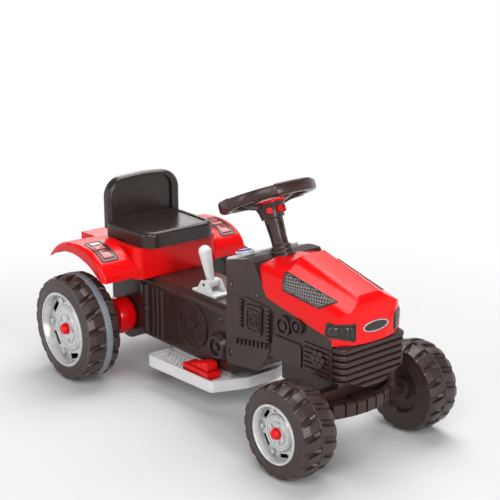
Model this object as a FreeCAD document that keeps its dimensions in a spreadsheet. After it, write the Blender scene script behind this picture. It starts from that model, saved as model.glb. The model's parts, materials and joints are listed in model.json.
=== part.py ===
import FreeCAD, Part
import math
import os
import re
import Sketcher

# Ride-on toy tractor in millimetres: +X forward, +Y to the rider's left, +Z up, tyres on Z = 0

Vector = FreeCAD.Vector
Rotation = FreeCAD.Rotation
Placement = FreeCAD.Placement

doc = FreeCAD.newDocument("ride_on_tractor")
sheet = doc.addObject("Spreadsheet::Sheet", "Sizes")

SIZES = (
    # Stance
    ("rear_axle_x", -319.25),
    ("wheelbase", 680),
    ("rear_track", 515),
    ("front_track", 422),
    ("axle_radius", 6),
    # Clearances and walls
    ("running_gap", 0.05),
    ("fit_gap", 0.4),
    ("shell_wall", 4),
    ("overcut", 30),
    # Rear wheels
    ("rear_tyre_radius", 124),
    ("rear_tyre_width", 81),
    ("rear_lug_height", 10),
    ("rear_lug_count", 20),
    ("rear_rim_radius", 86.5),
    ("rear_dish_depth", 36),
    ("rear_rim_floor", 17),
    ("rear_band_width", 17),
    ("rear_band_depth", 49),
    ("rear_cap_radius", 13.5),
    ("rear_cap_height", 13),
    # Front wheels
    ("front_tyre_radius", 94.5),
    ("front_tyre_width", 82),
    ("front_lug_height", 9),
    ("front_lug_count", 18),
    ("front_rim_radius", 59.5),
    ("front_dish_depth", 33),
    ("front_rim_floor", 14),
    ("front_band_width", 3),
    ("front_band_depth", 41),
    ("front_cap_radius", 12),
    ("front_cap_height", 10),
    # Wheel details
    ("tyre_shoulder", 12),
    ("lug_drop", 6),
    ("core_inset", 2),
    ("lug_edge", 0.8),
    ("lug_sink", 1.2),
    ("lug_root_depth", 15),
    ("wheel_hub_radius", 24),
    ("wheel_sleeve_radius", 18),
    ("wheel_sleeve_length", 9),
    ("wheel_inner_recess", 11),
    ("rim_lip", 2),
    ("rim_lip_width", 5),
    ("rim_wall", 3),
    ("rim_step", 4),
    ("rim_bolt_radius", 3.2),
    ("rim_bolt_height", 3),
    ("rim_boss_height", 5),
    ("nut_room_radius", 9.5),
    ("nut_radius", 8.6),
    ("nut_length", 6),
    ("cap_wall", 3),
    ("axle_end_inset", 6),
    ("drum_radius", 44),
    ("drum_bulge", 4),
    ("drum_width", 42),
    ("drum_gap", 2),
    # Rear hull
    ("hull_front_ahead", 389),
    ("hull_rear_behind", 61),
    ("hull_half_width", 78),
    ("hull_top_z", 236),
    ("hull_bottom_z", 86),
    ("hull_bulge_radius", 59),
    ("hull_top_round", 20),
    ("hull_wall", 6),
    ("hull_bottom_round", 12),
    ("relief", 4),
    ("engine_relief", 7),
    ("dial_radius", 20),
    ("small_dial_radius", 16),
    ("crank_dial_radius", 13),
    ("plate_round", 8),
    ("fan_radius", 13),
    ("fan_blade_radius", 6),
    ("fan_blade_count", 6),
    ("louvre_count", 6),
    ("stub_count", 8),
    ("stub_length", 11),
    ("stub_height", 4.5),
    ("gear_disc_radius", 53),
    ("gear_disc_z", 165),
    ("gear_disc_ahead", 255),
    ("gear_ring_width", 7),
    ("gear_hub_radius", 12),
    ("gear_rib_width", 6),
    ("pulley_radius", 31),
    ("pulley_depth", 17),
    ("pulley_z", 145),
    ("pulley_behind", 33),
    ("rib_width", 9),
    ("rib_ahead", 108),
    ("rib_pitch", 17),
    ("rib_count", 3),
    ("pillar_radius", 13),
    ("pillar_ahead", 78),
    ("pillar_collar", 4),
    ("pillar_collar_height", 9),
    # Engine block and dash
    ("engine_half_width", 92),
    ("engine_front_ahead", 29),
    ("engine_bottom_z", 120),
    ("engine_rise", 250),
    ("engine_edge_round", 9),
    ("hood_seat_gap", 0.4),
    # Bonnet
    ("nose_ahead", 58),
    ("hood_rear_ahead", 479),
    ("hood_half_width", 94),
    ("hood_top_z", 389),
    ("hood_height", 150),
    ("hood_plan_width", 120),
    ("hood_crest_round", 5),
    ("hood_shoulder_round", 12),
    ("hood_nose_round", 28),
    ("hood_corner_round", 15),
    # Grille and weights
    ("grille_half_width", 90),
    ("grille_top_z", 249.5),
    ("grille_bottom_z", 156),
    ("grille_depth", 26),
    ("grille_corner", 18),
    ("grille_rib_count", 7),
    ("grille_groove", 5),
    ("weight_half_width", 88),
    ("weight_bottom_z", 97),
    ("weight_height", 33),
    ("weight_depth", 24),
    ("weight_bow", 16),
    ("weight_round", 8),
    ("weight_groove", 4),
    ("weight_groove_count", 6),
    # Front axle and steering
    ("kingpin_y", 104),
    ("kingpin_radius", 6),
    ("beam_bottom_z", 112),
    ("beam_height", 36),
    ("beam_half_depth", 13),
    ("carrier_half_width", 56),
    ("carrier_length", 40),
    ("carrier_back", 29),
    ("cheek_thickness", 8),
    ("kingpin_head", 4),
    ("kingpin_head_radius", 10),
    ("arm_length", 60),
    ("arm_width", 15),
    ("arm_thickness", 5),
    ("arm_top_z", 105),
    ("tie_gap", 0.4),
    ("tie_thickness", 4),
    ("tie_width", 14),
    ("tie_pin_radius", 3),
    ("tongue_width", 26),
    ("slot_length", 20),
    ("slot_side_gap", 0.9),
    ("column_tilt", 24),
    ("wheel_centre_ahead", 415),
    ("wheel_centre_z", 473),
    ("shaft_radius", 6),
    ("crank_radius", 38),
    ("crank_drop", 16),
    ("crank_ball_radius", 5),
    ("crank_pin_radius", 3.5),
    ("crank_web_radius", 5.5),
    ("steering_rim_radius", 92),
    ("steering_tube_radius", 9),
    ("grip_tube_radius", 11),
    ("steering_dish", 17),
    ("shaft_top_drop", 25),
    ("steering_hub_radius", 27),
    ("steering_hub_height", 30),
    ("spoke_width", 24),
    ("spoke_thickness", 10),
    ("hub_cover_radius", 33),
    ("hub_cover_height", 9),
    ("button_radius", 7),
    ("button_length", 11),
    ("button_travel", 2),
    ("button_drop", 15),
    ("button_seat", 20),
    ("column_top_radius", 20),
    ("column_base_radius", 17.5),
    ("column_length", 78),
    ("column_wall", 4),
    ("column_top_drop", 48),
    ("boot_radius", 26),
    ("boot_length", 28),
    ("boot_drop", 118),
    ("boot_ring_count", 3),
    ("boot_step", 2),
    ("flute_count", 8),
    ("flute_width", 6),
    ("flute_depth", 2),
    ("flute_end", 9),
    ("bush_radius", 12),
    ("bush_length", 20),
    ("bush_drop", 313),
    # Dash
    ("dash_panel_thickness", 5),
    ("dash_panel_half_width", 84),
    ("start_button_radius", 15),
    ("start_button_height", 9),
    ("start_button_travel", 3),
    ("start_bezel_radius", 19),
    ("start_bezel_height", 5),
    ("start_button_y", -50),
    # Fender body
    ("fender_outer_y", 207),
    ("fender_inner_y", 106),
    ("fender_round", 10),
    ("fender_front_ahead", 101),
    ("fender_length", 230),
    ("fender_low_z", 245),
    ("fender_rise", 66),
    ("platform_front_half", 117),
    ("platform_rear_half", 128),
    ("platform_rear_behind", 112),
    ("platform_round", 24),
    ("platform_top_z", 309),
    # Seat
    ("seat_front_ahead", 121),
    ("seat_rear_behind", 57),
    ("seat_front_half", 98),
    ("seat_rear_half", 106),
    ("seat_height", 36),
    ("seat_round", 32),
    ("seat_edge_round", 10),
    ("seat_dish", 3),
    ("seat_rim", 15),
    ("back_height", 122),
    ("back_half_width", 102),
    ("back_thickness", 30),
    ("back_recess", 6),
    # Footboard and pedal
    ("board_bottom_z", 52),
    ("board_top_z", 72),
    ("board_rear_ahead", 151),
    ("board_length", 252),
    ("board_rear_half", 132),
    ("board_front_half", 120),
    ("board_knee_half", 40),
    ("board_rim", 5),
    ("board_rim_rise", 5),
    ("board_tread_height", 3),
    ("board_tread_width", 4),
    ("board_tread_count", 5),
    ("board_neck_half", 62),
    ("board_round", 14),
    ("board_tread_length", 50),
    ("pedal_corner_gap", 17.76),
    ("pedal_length", 88),
    ("pedal_width", 36),
    ("pedal_side_y", -115),
    ("pedal_base_height", 17),
    ("pedal_rise", 20),
    ("pedal_pin_radius", 3),
    ("pedal_wall", 4),
    ("pedal_pin_inset", 11),
    ("pedal_pin_rise", 10),
    # Gear lever
    ("lever_ahead", 275),
    ("lever_y", -40),
    ("lever_base_length", 82),
    ("lever_base_width", 42),
    ("lever_base_height", 5),
    ("lever_cheek", 6),
    ("lever_cheek_rise", 30),
    ("lever_cheek_length", 60),
    ("lever_pivot_rise", 22),
    ("lever_pin_radius", 4),
    ("lever_hub_radius", 10),
    ("lever_neck_radius", 8),
    ("lever_knob_radius", 14.5),
    ("lever_length", 70),
    ("lever_lean", 18),
    # Inside the hull
    ("gearbox_radius", 46),
    ("gearbox_width", 40),
    ("motor_radius", 18),
    ("motor_length", 62),
    ("motor_rise", 14),
    ("battery_length", 100),
    ("battery_width", 60),
    ("battery_height", 72),
    ("battery_ahead", 130),
    # Tow hitch
    ("hitch_length", 75),
    ("hitch_width", 50),
    ("hitch_thickness", 6),
    ("hitch_hole_radius", 5),
    ("hitch_z", 172),
    ("hitch_pad_height", 44),
    # Screws
    ("screw_radius", 4),
    ("screw_length", 3),
    ("screw_recess_radius", 6),
    ("screw_recess_depth", 2.4),
)
NAMES = {name for name, number in SIZES}
for row, (name, number) in enumerate(SIZES, start=1):
    sheet.set(f"A{row}", name)
    sheet.set(f"B{row}", str(number))
    sheet.setAlias(f"B{row}", name)
doc.recompute()

# Places that many pieces share, as formulas of the sheet
REAR_X = "rear_axle_x"
FRONT_X = "(rear_axle_x + wheelbase)"
HULL_REAR = "(rear_axle_x - hull_rear_behind)"
HULL_FRONT = "(rear_axle_x + hull_front_ahead)"
ENGINE_FRONT = f"({FRONT_X} + engine_front_ahead)"
NOSE_X = f"({FRONT_X} + nose_ahead)"
HOOD_REAR = "(rear_axle_x + hood_rear_ahead)"
WHEEL_CENTRE_X = "(rear_axle_x + wheel_centre_ahead)"
BOARD_REAR = "(rear_axle_x + board_rear_ahead)"
BOARD_CORNER_SHARE = 0.88
PEDAL_REAR = f"({BOARD_REAR} + board_length * {BOARD_CORNER_SHARE} - pedal_corner_gap - pedal_length)"
LEVER_X = "(rear_axle_x + lever_ahead)"
SLEEVE_BORE = "(axle_radius + running_gap)"

NODES = []


def full(text):
    """A formula of sheet names as an expression of the document."""
    return re.sub(r"[a-z][a-z_]+", lambda word: f"Sizes.{word[0]}" if word[0] in NAMES else word[0], text)


def size(text):
    """The present value of a formula of sheet names."""
    return float(sheet.evalExpression(full(text)))


def bind(item, prop, text):
    item.setExpression(prop, full(text))


def place(item, x="0", y="0", z="0"):
    for axis, text in zip("xyz", (x, y, z)):
        bind(item, f"Placement.Base.{axis}", text)
    return item


def node(item, label):
    """Take an object as a finished sub-part."""
    item.Label = label
    NODES.append(item)
    return item


# Sketches

FULL_TURN = 360
PLANE_TURNS = {
    "XY": Rotation(),
    "XZ": Rotation(Vector(1, 0, 0), 90),
    "YZ": Rotation(Vector(1, 1, 1), 120),
}
PLANE_AXIS = {"XY": "z", "XZ": "y", "YZ": "x"}
AXIS_VECTOR = {"x": Vector(1, 0, 0), "y": Vector(0, 1, 0), "z": Vector(0, 0, 1)}


def draw(sketch, points, bends=None):
    """Close a sketch through points; a bend makes the stretch after its point an arc through it."""
    bends = bends or {}
    corners = [Vector(size(u), size(v), 0) for u, v in points]
    count = len(points)
    ends = []
    for index, corner in enumerate(corners):
        follow = corners[(index + 1) % count]
        if index in bends:
            through = Vector(size(bends[index][0]), size(bends[index][1]), 0)
            sketch.addGeometry(Part.Arc(corner, through, follow))
            turns_left = (through - corner).cross(follow - through).z > 0
            ends.append((1, 2) if turns_left else (2, 1))
        else:
            sketch.addGeometry(Part.LineSegment(corner, follow))
            ends.append((1, 2))
    for index in range(count):
        follow = (index + 1) % count
        sketch.addConstraint(Sketcher.Constraint("Coincident", index, ends[index][1], follow,
                                                 ends[follow][0]))
    for index, (u, v) in enumerate(points):
        fix_point(sketch, index, ends[index][0], u, v)
    for index, (u, v) in bends.items():
        mark = sketch.addGeometry(Part.Point(Vector(size(u), size(v), 0)), True)
        fix_point(sketch, mark, 1, u, v)
        sketch.addConstraint(Sketcher.Constraint("PointOnObject", mark, 1, index))


def softened(points, corners):
    """An outline's points and bends with some corners rounded: each cuts its length from both sides."""
    spots = [Vector(size(u), size(v), 0) for u, v in points]
    soft = []
    bends = {}
    for index, (u, v) in enumerate(points):
        if index not in corners:
            soft.append((u, v))
            continue
        length = corners[index]
        before = (spots[index - 1] - spots[index]).normalize()
        after = (spots[(index + 1) % len(spots)] - spots[index]).normalize()
        inward = (before + after).normalize()
        along = before.dot(inward)
        depth = (1 - math.sqrt(1 - along * along)) / along
        bends[len(soft)] = (f"({u} + {length} * {depth * inward.x})",
                            f"({v} + {length} * {depth * inward.y})")
        for way in (before, after):
            soft.append((f"({u} + {length} * {way.x})", f"({v} + {length} * {way.y})"))
    return soft, bends


def fix_point(sketch, index, end, u, v):
    for kind, text in (("DistanceX", u), ("DistanceY", v)):
        mark = sketch.addConstraint(Sketcher.Constraint(kind, -1, 1, index, end, size(text)))
        bind(sketch, f"Constraints[{mark}]", text)


def draw_circle(sketch, u, v, radius):
    centre = Vector(size(u), size(v), 0)
    index = sketch.addGeometry(Part.Circle(centre, Vector(0, 0, 1), size(radius)))
    fix_point(sketch, index, 3, u, v)
    mark = sketch.addConstraint(Sketcher.Constraint("Radius", index, size(radius)))
    bind(sketch, f"Constraints[{mark}]", radius)


def outline(name, plane, points, bends=None, level="0"):
    sketch = doc.addObject("Sketcher::SketchObject", name)
    sketch.Placement = Placement(Vector(), PLANE_TURNS[plane])
    bind(sketch, f"Placement.Base.{PLANE_AXIS[plane]}", level)
    draw(sketch, points, bends)
    return sketch


# Part features

def extrusion(name, base, plane, depth):
    item = doc.addObject("Part::Extrusion", name)
    item.Base = base
    item.DirMode = "Custom"
    item.Dir = AXIS_VECTOR[PLANE_AXIS[plane]]
    item.Solid = True
    bind(item, "LengthFwd", depth)
    return item


def prism(name, plane, points, start, depth, bends=None):
    return extrusion(name, outline(f"{name}_outline", plane, points, bends, start), plane, depth)


def box(name, x, y, z, length, width, height):
    item = doc.addObject("Part::Box", name)
    bind(item, "Length", length)
    bind(item, "Width", width)
    bind(item, "Height", height)
    return place(item, x, y, z)


def cylinder(name, axis, x, y, z, radius, length):
    item = doc.addObject("Part::Cylinder", name)
    item.Placement = Placement(Vector(), Rotation(Vector(0, 0, 1), AXIS_VECTOR[axis]))
    bind(item, "Radius", radius)
    bind(item, "Height", length)
    return place(item, x, y, z)


def joined(name, items):
    item = doc.addObject("Part::MultiFuse", name)
    item.Shapes = items
    return item


def shared(name, items):
    item = doc.addObject("Part::MultiCommon", name)
    item.Shapes = items
    return item


def cut(name, base, tools):
    item = doc.addObject("Part::Cut", name)
    item.Base = base
    item.Tool = tools[0] if len(tools) == 1 else joined(f"{name}_tools", tools)
    return item


def group(name, items):
    item = doc.addObject("Part::Compound", name)
    item.Links = items
    return item


def mirrored(name, source):
    """The left-hand twin of a right-hand piece."""
    item = doc.addObject("Part::Mirroring", name)
    item.Source = source
    item.Normal = Vector(0, 1, 0)
    return item


def rounded(name, base, radius, wanted):
    """Round the edges of a piece that a test picks by where they lie."""
    doc.recompute([base])
    item = doc.addObject("Part::Fillet", name)
    item.Base = base
    value = size(radius)
    edges = enumerate(base.Shape.Edges, start=1)
    item.Edges = [(index, value, value) for index, edge in edges if wanted(edge)]
    return item


# Bodies

def origin_of(body, role):
    return next(item for item in body.Origin.OriginFeatures if item.Role == role)


def body_sketch(body, name, role, level="0"):
    sketch = body.newObject("Sketcher::SketchObject", name)
    sketch.AttachmentSupport = (origin_of(body, role), [""])
    sketch.MapMode = "FlatFace"
    bind(sketch, "AttachmentOffset.Base.z", level)
    return sketch


def pad(body, sketch, name, length):
    item = body.newObject("PartDesign::Pad", name)
    item.Profile = sketch
    bind(item, "Length", length)
    return item


def pocket(body, sketch, name, length):
    item = body.newObject("PartDesign::Pocket", name)
    item.Profile = sketch
    bind(item, "Length", length)
    return item


def ring_pattern(body, feature, name, count, role="Y_Axis"):
    item = body.newObject("PartDesign::PolarPattern", name)
    item.Originals = [feature]
    item.Axis = (origin_of(body, role), [""])
    item.Angle = FULL_TURN
    bind(item, "Occurrences", count)
    body.Tip = item
    return item


def turned(name, points, bends=None):
    """A body turned about its own Y axis from points of radius and depth."""
    body = doc.addObject("PartDesign::Body", name)
    sketch = body_sketch(body, f"{name}_profile", "XY_Plane")
    draw(sketch, points, bends)
    turn = body.newObject("PartDesign::Revolution", f"{name}_turn")
    turn.Profile = sketch
    turn.ReferenceAxis = (sketch, ["V_Axis"])
    turn.Angle = FULL_TURN
    return body


# Wheels: depth is measured inward from the tyre's outer face

WHEEL_X = {"rear": REAR_X, "front": FRONT_X}
SHOULDER_BEND_SHARE = 0.293
INNER_RING_SHARE = 0.86
INNER_DISC_SHARE = 0.76
LUG_HALF_SHARE = 0.28
LUG_TWIST_SHARE = 0.3
LUG_STATION_SHARES = ((0, 1, 0.3), (0.35, 0.12, 0.85), (0.7, 0, 1), (1, 0, 0.35))
LUG_STAGGER_SHARE = 0.5
RIM_FACE_SHARES = (0.88, 0.64, 0.58, 0.41, 0.38)
RIM_SLOT_SHARES = (0.69, 0.83, 0.2)
RIM_BOSS_SHARE = 0.76
RIM_BOSS_RADIUS_SHARE = 0.075
RIM_BOLT_SHARE = 0.31
RIM_ARMS = "5"
CAP_TOP_SHARE = 0.72
CAP_WAIST_SHARE = 0.9


def at_wheel(item, end):
    return place(item, WHEEL_X[end], f"-{end}_track / 2", f"{end}_tyre_radius")


def sleeve_end(end):
    return f"({end}_dish_depth - wheel_sleeve_length)"


def tyre_root(end):
    return f"({end}_tyre_radius - lug_sink - {end}_lug_height - core_inset)"


def tyre_core(end):
    root = tyre_root(end)
    opening = f"({end}_rim_radius + fit_gap)"
    width = f"{end}_tyre_width"
    bend = f"tyre_shoulder * {SHOULDER_BEND_SHARE}"
    points = [
        (opening, "0"),
        (f"{root} - tyre_shoulder", "0"),
        (root, "tyre_shoulder"),
        (root, f"{width} - tyre_shoulder"),
        (f"{root} - tyre_shoulder", width),
        (f"{opening} * {INNER_RING_SHARE}", width),
        (f"{opening} * {INNER_DISC_SHARE}", f"{width} - wheel_inner_recess"),
        ("wheel_hub_radius", f"{width} - wheel_inner_recess"),
        ("wheel_hub_radius", width),
        (SLEEVE_BORE, width),
        (SLEEVE_BORE, sleeve_end(end)),
        ("wheel_sleeve_radius", sleeve_end(end)),
        ("wheel_sleeve_radius", f"{end}_dish_depth"),
        (opening, f"{end}_dish_depth"),
    ]
    bends = {
        1: (f"{root} - {bend}", bend),
        3: (f"{root} - {bend}", f"{width} - {bend}"),
    }
    return at_wheel(turned(f"{end}_tyre_core", points, bends), end)


def lug_wire(end, depth, drop, scoop, twist):
    """The lugged outline of a tyre across its axle, at one depth: flat lugs with scooped valleys."""
    tip = size(f"{end}_tyre_radius - lug_sink") - drop
    count = int(size(f"{end}_lug_count"))
    pitch = 2 * math.pi / count

    def on_tread(radius, angle):
        return Vector(radius * math.cos(angle), depth, radius * math.sin(angle))

    edges = []
    for index in range(count):
        middle = (index + twist) * pitch
        first = on_tread(tip, middle - LUG_HALF_SHARE * pitch)
        last = on_tread(tip, middle + LUG_HALF_SHARE * pitch)
        follow = on_tread(tip, middle + (1 - LUG_HALF_SHARE) * pitch)
        valley = on_tread(tip - scoop, middle + pitch / 2)
        edges.append(Part.Arc(first, on_tread(tip, middle), last).toShape())
        edges.append(Part.Arc(last, valley, follow).toShape())
    return Part.Wire(edges)


def lug_ring(end, name, near, far, twist):
    """One row of lugs, slanting from its edge of the tread towards the middle."""
    wires = []
    for part, fall, scoop in LUG_STATION_SHARES:
        depth = near + (far - near) * part
        drop = size("lug_drop") * fall
        sunk = size(f"{end}_lug_height") * scoop
        wires.append(lug_wire(end, depth, drop, sunk, twist + LUG_TWIST_SHARE * part))
    solid = Part.makeLoft(wires, True, True)
    hole_radius = size(f"{end}_tyre_radius - {end}_lug_height - lug_root_depth")
    hole = Part.makeCylinder(hole_radius, size(f"{end}_tyre_width"), Vector(), Vector(0, 1, 0))
    item = doc.addObject("Part::Feature", name)
    item.Shape = solid.cut(hole)
    return at_wheel(item, end)


def tread_ridge():
    """The raised seam round the middle of a front tyre."""
    foot = tyre_root("front")
    near = "(front_band_depth - front_band_width / 2 - lug_sink)"
    far = "(front_band_depth + front_band_width / 2 + lug_sink)"
    side = "front_tyre_radius - lug_sink * 2"
    points = [
        (f"{foot} - core_inset", near),
        (side, near),
        ("front_tyre_radius", "front_band_depth - front_band_width / 3"),
        ("front_tyre_radius", "front_band_depth + front_band_width / 3"),
        (side, far),
        (f"{foot} - core_inset", far),
    ]
    return at_wheel(turned("front_tread_ridge", points), "front")


def tyre(end):
    width = size(f"{end}_tyre_width")
    middle = size(f"{end}_band_depth")
    half_band = size(f"{end}_band_width") / 2
    edge = size("lug_edge")
    outer = lug_ring(end, f"{end}_lugs_outer", edge, middle - half_band, 0)
    inner = lug_ring(end, f"{end}_lugs_inner", width - edge, middle + half_band, LUG_STAGGER_SHARE)
    ridges = [tread_ridge()] if end == "front" else []
    return joined(f"{end}_tyre_right", [tyre_core(end), outer, inner] + ridges)


def rim(end):
    radius = f"{end}_rim_radius"
    floor = f"{end}_rim_floor"
    back = f"{floor} + rim_wall"
    wall, foot, top, inner, seat = [f"{radius} * {share}" for share in RIM_FACE_SHARES]
    face = f"({floor} - rim_step)"
    centre = f"({floor} - rim_step * 3 / 2)"
    points = [
        (radius, "-rim_lip"),
        (radius, back),
        ("nut_room_radius + rim_wall", back),
        ("nut_room_radius + rim_wall", sleeve_end(end)),
        ("nut_room_radius", sleeve_end(end)),
        ("nut_room_radius", centre),
        (seat, centre),
        (inner, face),
        (top, face),
        (foot, floor),
        (wall, floor),
        (f"{radius} - rim_lip_width", "-rim_lip"),
    ]
    body = turned(f"{end}_rim_right", points)
    near, far, half = [f"{radius} * {share}" for share in RIM_SLOT_SHARES]
    slot = body_sketch(body, f"{end}_rim_slot", "XZ_Plane", f"-({floor} - rim_step)")
    draw(slot, [(near, f"-{half}"), (far, f"-{half}"), (far, half), (near, half)])
    slots = pocket(body, slot, f"{end}_rim_slot_cut", "rim_step * 4")
    ring_pattern(body, slots, f"{end}_rim_slots", RIM_ARMS)
    turn = math.pi / int(RIM_ARMS)
    boss = body_sketch(body, f"{end}_rim_boss", "XZ_Plane", f"-({floor} + rim_wall / 2)")
    out = f"{radius} * {RIM_BOSS_SHARE}"
    draw_circle(boss, f"{out} * {math.cos(turn)}", f"{out} * {math.sin(turn)}",
                f"{radius} * {RIM_BOSS_RADIUS_SHARE}")
    bosses = pad(body, boss, f"{end}_rim_boss_pad", "rim_boss_height + rim_wall / 2")
    ring_pattern(body, bosses, f"{end}_rim_bosses", RIM_ARMS)
    bolt = body_sketch(body, f"{end}_rim_bolt", "XZ_Plane", f"-({centre} + rim_step)")
    draw_circle(bolt, f"{radius} * {RIM_BOLT_SHARE}", "0", "rim_bolt_radius")
    bolts = pad(body, bolt, f"{end}_rim_bolt_pad", "rim_bolt_height + rim_step")
    ring_pattern(body, bolts, f"{end}_rim_bolts", RIM_ARMS)
    return at_wheel(body, end)


def cap(end):
    seat = f"({end}_rim_floor - rim_step * 3 / 2)"
    top = f"({seat} - {end}_cap_height)"
    radius = f"{end}_cap_radius"
    points = [
        ("0", top),
        (f"{radius} * {CAP_TOP_SHARE}", f"{top} + cap_wall / 3"),
        (f"{radius} * {CAP_WAIST_SHARE}", f"{top} + {end}_cap_height / 2"),
        (radius, seat),
        ("nut_room_radius", seat),
        ("nut_room_radius", f"{top} + cap_wall * 2"),
        ("0", f"{top} + cap_wall * 2"),
    ]
    return at_wheel(turned(f"{end}_cap_right", points), end)


def nut(end):
    near = f"({sleeve_end(end)} - fit_gap - nut_length)"
    points = [
        ("axle_radius", near),
        ("nut_radius", near),
        ("nut_radius", f"{near} + nut_length"),
        ("axle_radius", f"{near} + nut_length"),
    ]
    return at_wheel(turned(f"{end}_nut_one", points), end)


def grip_band():
    root = f"({tyre_root('rear')} + fit_gap)"
    near = "(rear_band_depth - rear_band_width / 2 + fit_gap)"
    far = "(rear_band_depth + rear_band_width / 2 - fit_gap)"
    side = "rear_tyre_radius - lug_sink"
    points = [(root, near), (side, near), (side, far), (root, far)]
    bends = {1: ("rear_tyre_radius", "rear_band_depth")}
    return at_wheel(turned("rear_band_right", points, bends), "rear")


def drive_drum():
    far = "(rear_track / 2 - hull_half_width - drum_gap)"
    near = f"({far} - drum_width)"
    points = [
        (SLEEVE_BORE, "rear_tyre_width"),
        ("wheel_hub_radius", "rear_tyre_width"),
        ("wheel_hub_radius", near),
        ("drum_radius - drum_bulge", near),
        ("drum_radius - drum_bulge", far),
        (SLEEVE_BORE, far),
    ]
    bends = {3: ("drum_radius", f"{near} + drum_width / 2")}
    return at_wheel(turned("drive_drum_right", points, bends), "rear")


for end in ("rear", "front"):
    for maker, piece in ((tyre, "tyre"), (rim, "rim"), (cap, "cap")):
        right = node(maker(end), f"{end}_{piece}_right")
        node(mirrored(f"{end}_{piece}_left", right), f"{end}_{piece}_left")
for maker, piece in ((grip_band, "rear_band"), (drive_drum, "drive_drum")):
    right = node(maker(), f"{piece}_right")
    node(mirrored(f"{piece}_left", right), f"{piece}_left")

axle_half = "(rear_track / 2 - axle_end_inset)"
node(cylinder("rear_axle", "y", REAR_X, f"-{axle_half}", "rear_tyre_radius", "axle_radius",
              f"{axle_half} * 2"),
     "rear_axle")
rear_nut = nut("rear")
node(group("rear_axle_nuts", [rear_nut, mirrored("rear_nut_other", rear_nut)]), "rear_axle_nuts")

# Rear hull: two shells that meet on the middle plane

NEAR = 0.001
HULL_SLOPE_SHARE = 0.55
PULLEY_SHARES = (0.26, 0.62, 0.78)


def is_low(edge, level):
    return edge.BoundBox.ZMax < size(level) + NEAR


def runs_along_x(edge, y):
    """True for a straight edge in the plane of one Y that leads forward."""
    start, stop = edge.Vertexes[0].Point, edge.Vertexes[-1].Point
    in_plane = abs(start.y - y) < NEAR and abs(stop.y - y) < NEAR
    return in_plane and abs(start.z - stop.z) < NEAR and abs(start.x - stop.x) > NEAR


def hollow(name, block, plane, shift, depth, inset="shell_wall"):
    """The inside of an extruded block, inset from its outline and shifted along its depth."""
    inner = doc.addObject("Part::Offset2D", f"{name}_outline")
    inner.Source = block.Base
    inner.Join = "Intersection"
    bind(inner, "Value", f"-({inset})")
    item = extrusion(name, inner, plane, depth)
    bind(item, f"Placement.Base.{PLANE_AXIS[plane]}", shift)
    return item


def screw_recesses(name, spots, half_width):
    """Round recesses in the right side of a shell and the screw heads that sit in them."""
    recesses = []
    heads = []
    for index, (x, z) in enumerate(spots):
        floor = f"-({half_width} - screw_recess_depth)"
        recesses.append(cylinder(f"{name}_recess_{index}", "y", x, f"-({half_width} + overcut)", z,
                                 "screw_recess_radius", "overcut + screw_recess_depth"))
        heads.append(cylinder(f"{name}_head_{index}", "y", x, f"{floor} - screw_length", z,
                              "screw_radius", "screw_length"))
    return recesses, heads


def gear_cover():
    depth = "(relief * 3 / 2)"
    points = [
        ("0", "0"),
        ("gear_hub_radius", "0"),
        ("gear_hub_radius", "relief"),
        ("gear_disc_radius - gear_ring_width", "relief"),
        ("gear_disc_radius - gear_ring_width", "relief / 2"),
        ("gear_disc_radius", "relief / 2"),
        ("gear_disc_radius", f"{depth} + shell_wall / 2"),
        ("0", f"{depth} + shell_wall / 2"),
    ]
    disc = turned("gear_cover", points)
    return place(disc, f"{REAR_X} + gear_disc_ahead", f"-hull_half_width - {depth}", "gear_disc_z")


def gear_spokes():
    spokes = []
    reach = "(gear_disc_radius - gear_ring_width)"
    for index, axis in enumerate("xz"):
        spoke = box(f"gear_spoke_{axis}", "0", "0", "0", f"{reach} * 2", "relief * 3 / 2", "gear_rib_width")
        spoke.Placement = Placement(Vector(), Rotation(Vector(0, 1, 0), 45 + 90 * index))
        turn = math.radians(45 + 90 * index)
        along, across = math.cos(turn), math.sin(turn)
        x = f"{REAR_X} + gear_disc_ahead - {reach} * {along} - gear_rib_width / 2 * {across}"
        z = f"gear_disc_z + {reach} * {across} - gear_rib_width / 2 * {along}"
        spokes.append(place(spoke, x, "-hull_half_width - relief", z))
    return spokes


def pulley():
    hub, dish, lip = [f"pulley_radius * {share}" for share in PULLEY_SHARES]
    points = [
        ("0", "0"),
        (hub, "0"),
        (hub, "pulley_depth / 3"),
        (dish, "pulley_depth / 3"),
        (dish, "0"),
        (lip, "0"),
        ("pulley_radius", "pulley_depth * 2 / 3"),
        ("pulley_radius", "pulley_depth + shell_wall / 2"),
        ("0", "pulley_depth + shell_wall / 2"),
    ]
    return place(turned("pulley", points), f"{HULL_FRONT} - pulley_behind", "-hull_half_width - pulley_depth",
                 "pulley_z")


def hull_pillar():
    """A half-round pillar in the side of the hull with a collar round its middle."""
    x = f"{REAR_X} + pillar_ahead"
    foot = "(hull_bottom_z + hull_bottom_round)"
    height = "(hull_top_z - hull_top_round - hull_bottom_z - hull_bottom_round)"
    post = cylinder("hull_pillar", "z", x, "-hull_half_width + hull_wall / 2", foot, "pillar_radius", height)
    collar = cylinder("hull_pillar_collar", "z", x, "-hull_half_width + hull_wall / 2",
                      f"{foot} + {height} / 2",
                      "pillar_radius + pillar_collar", "pillar_collar_height")
    return [post, collar]


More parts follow.
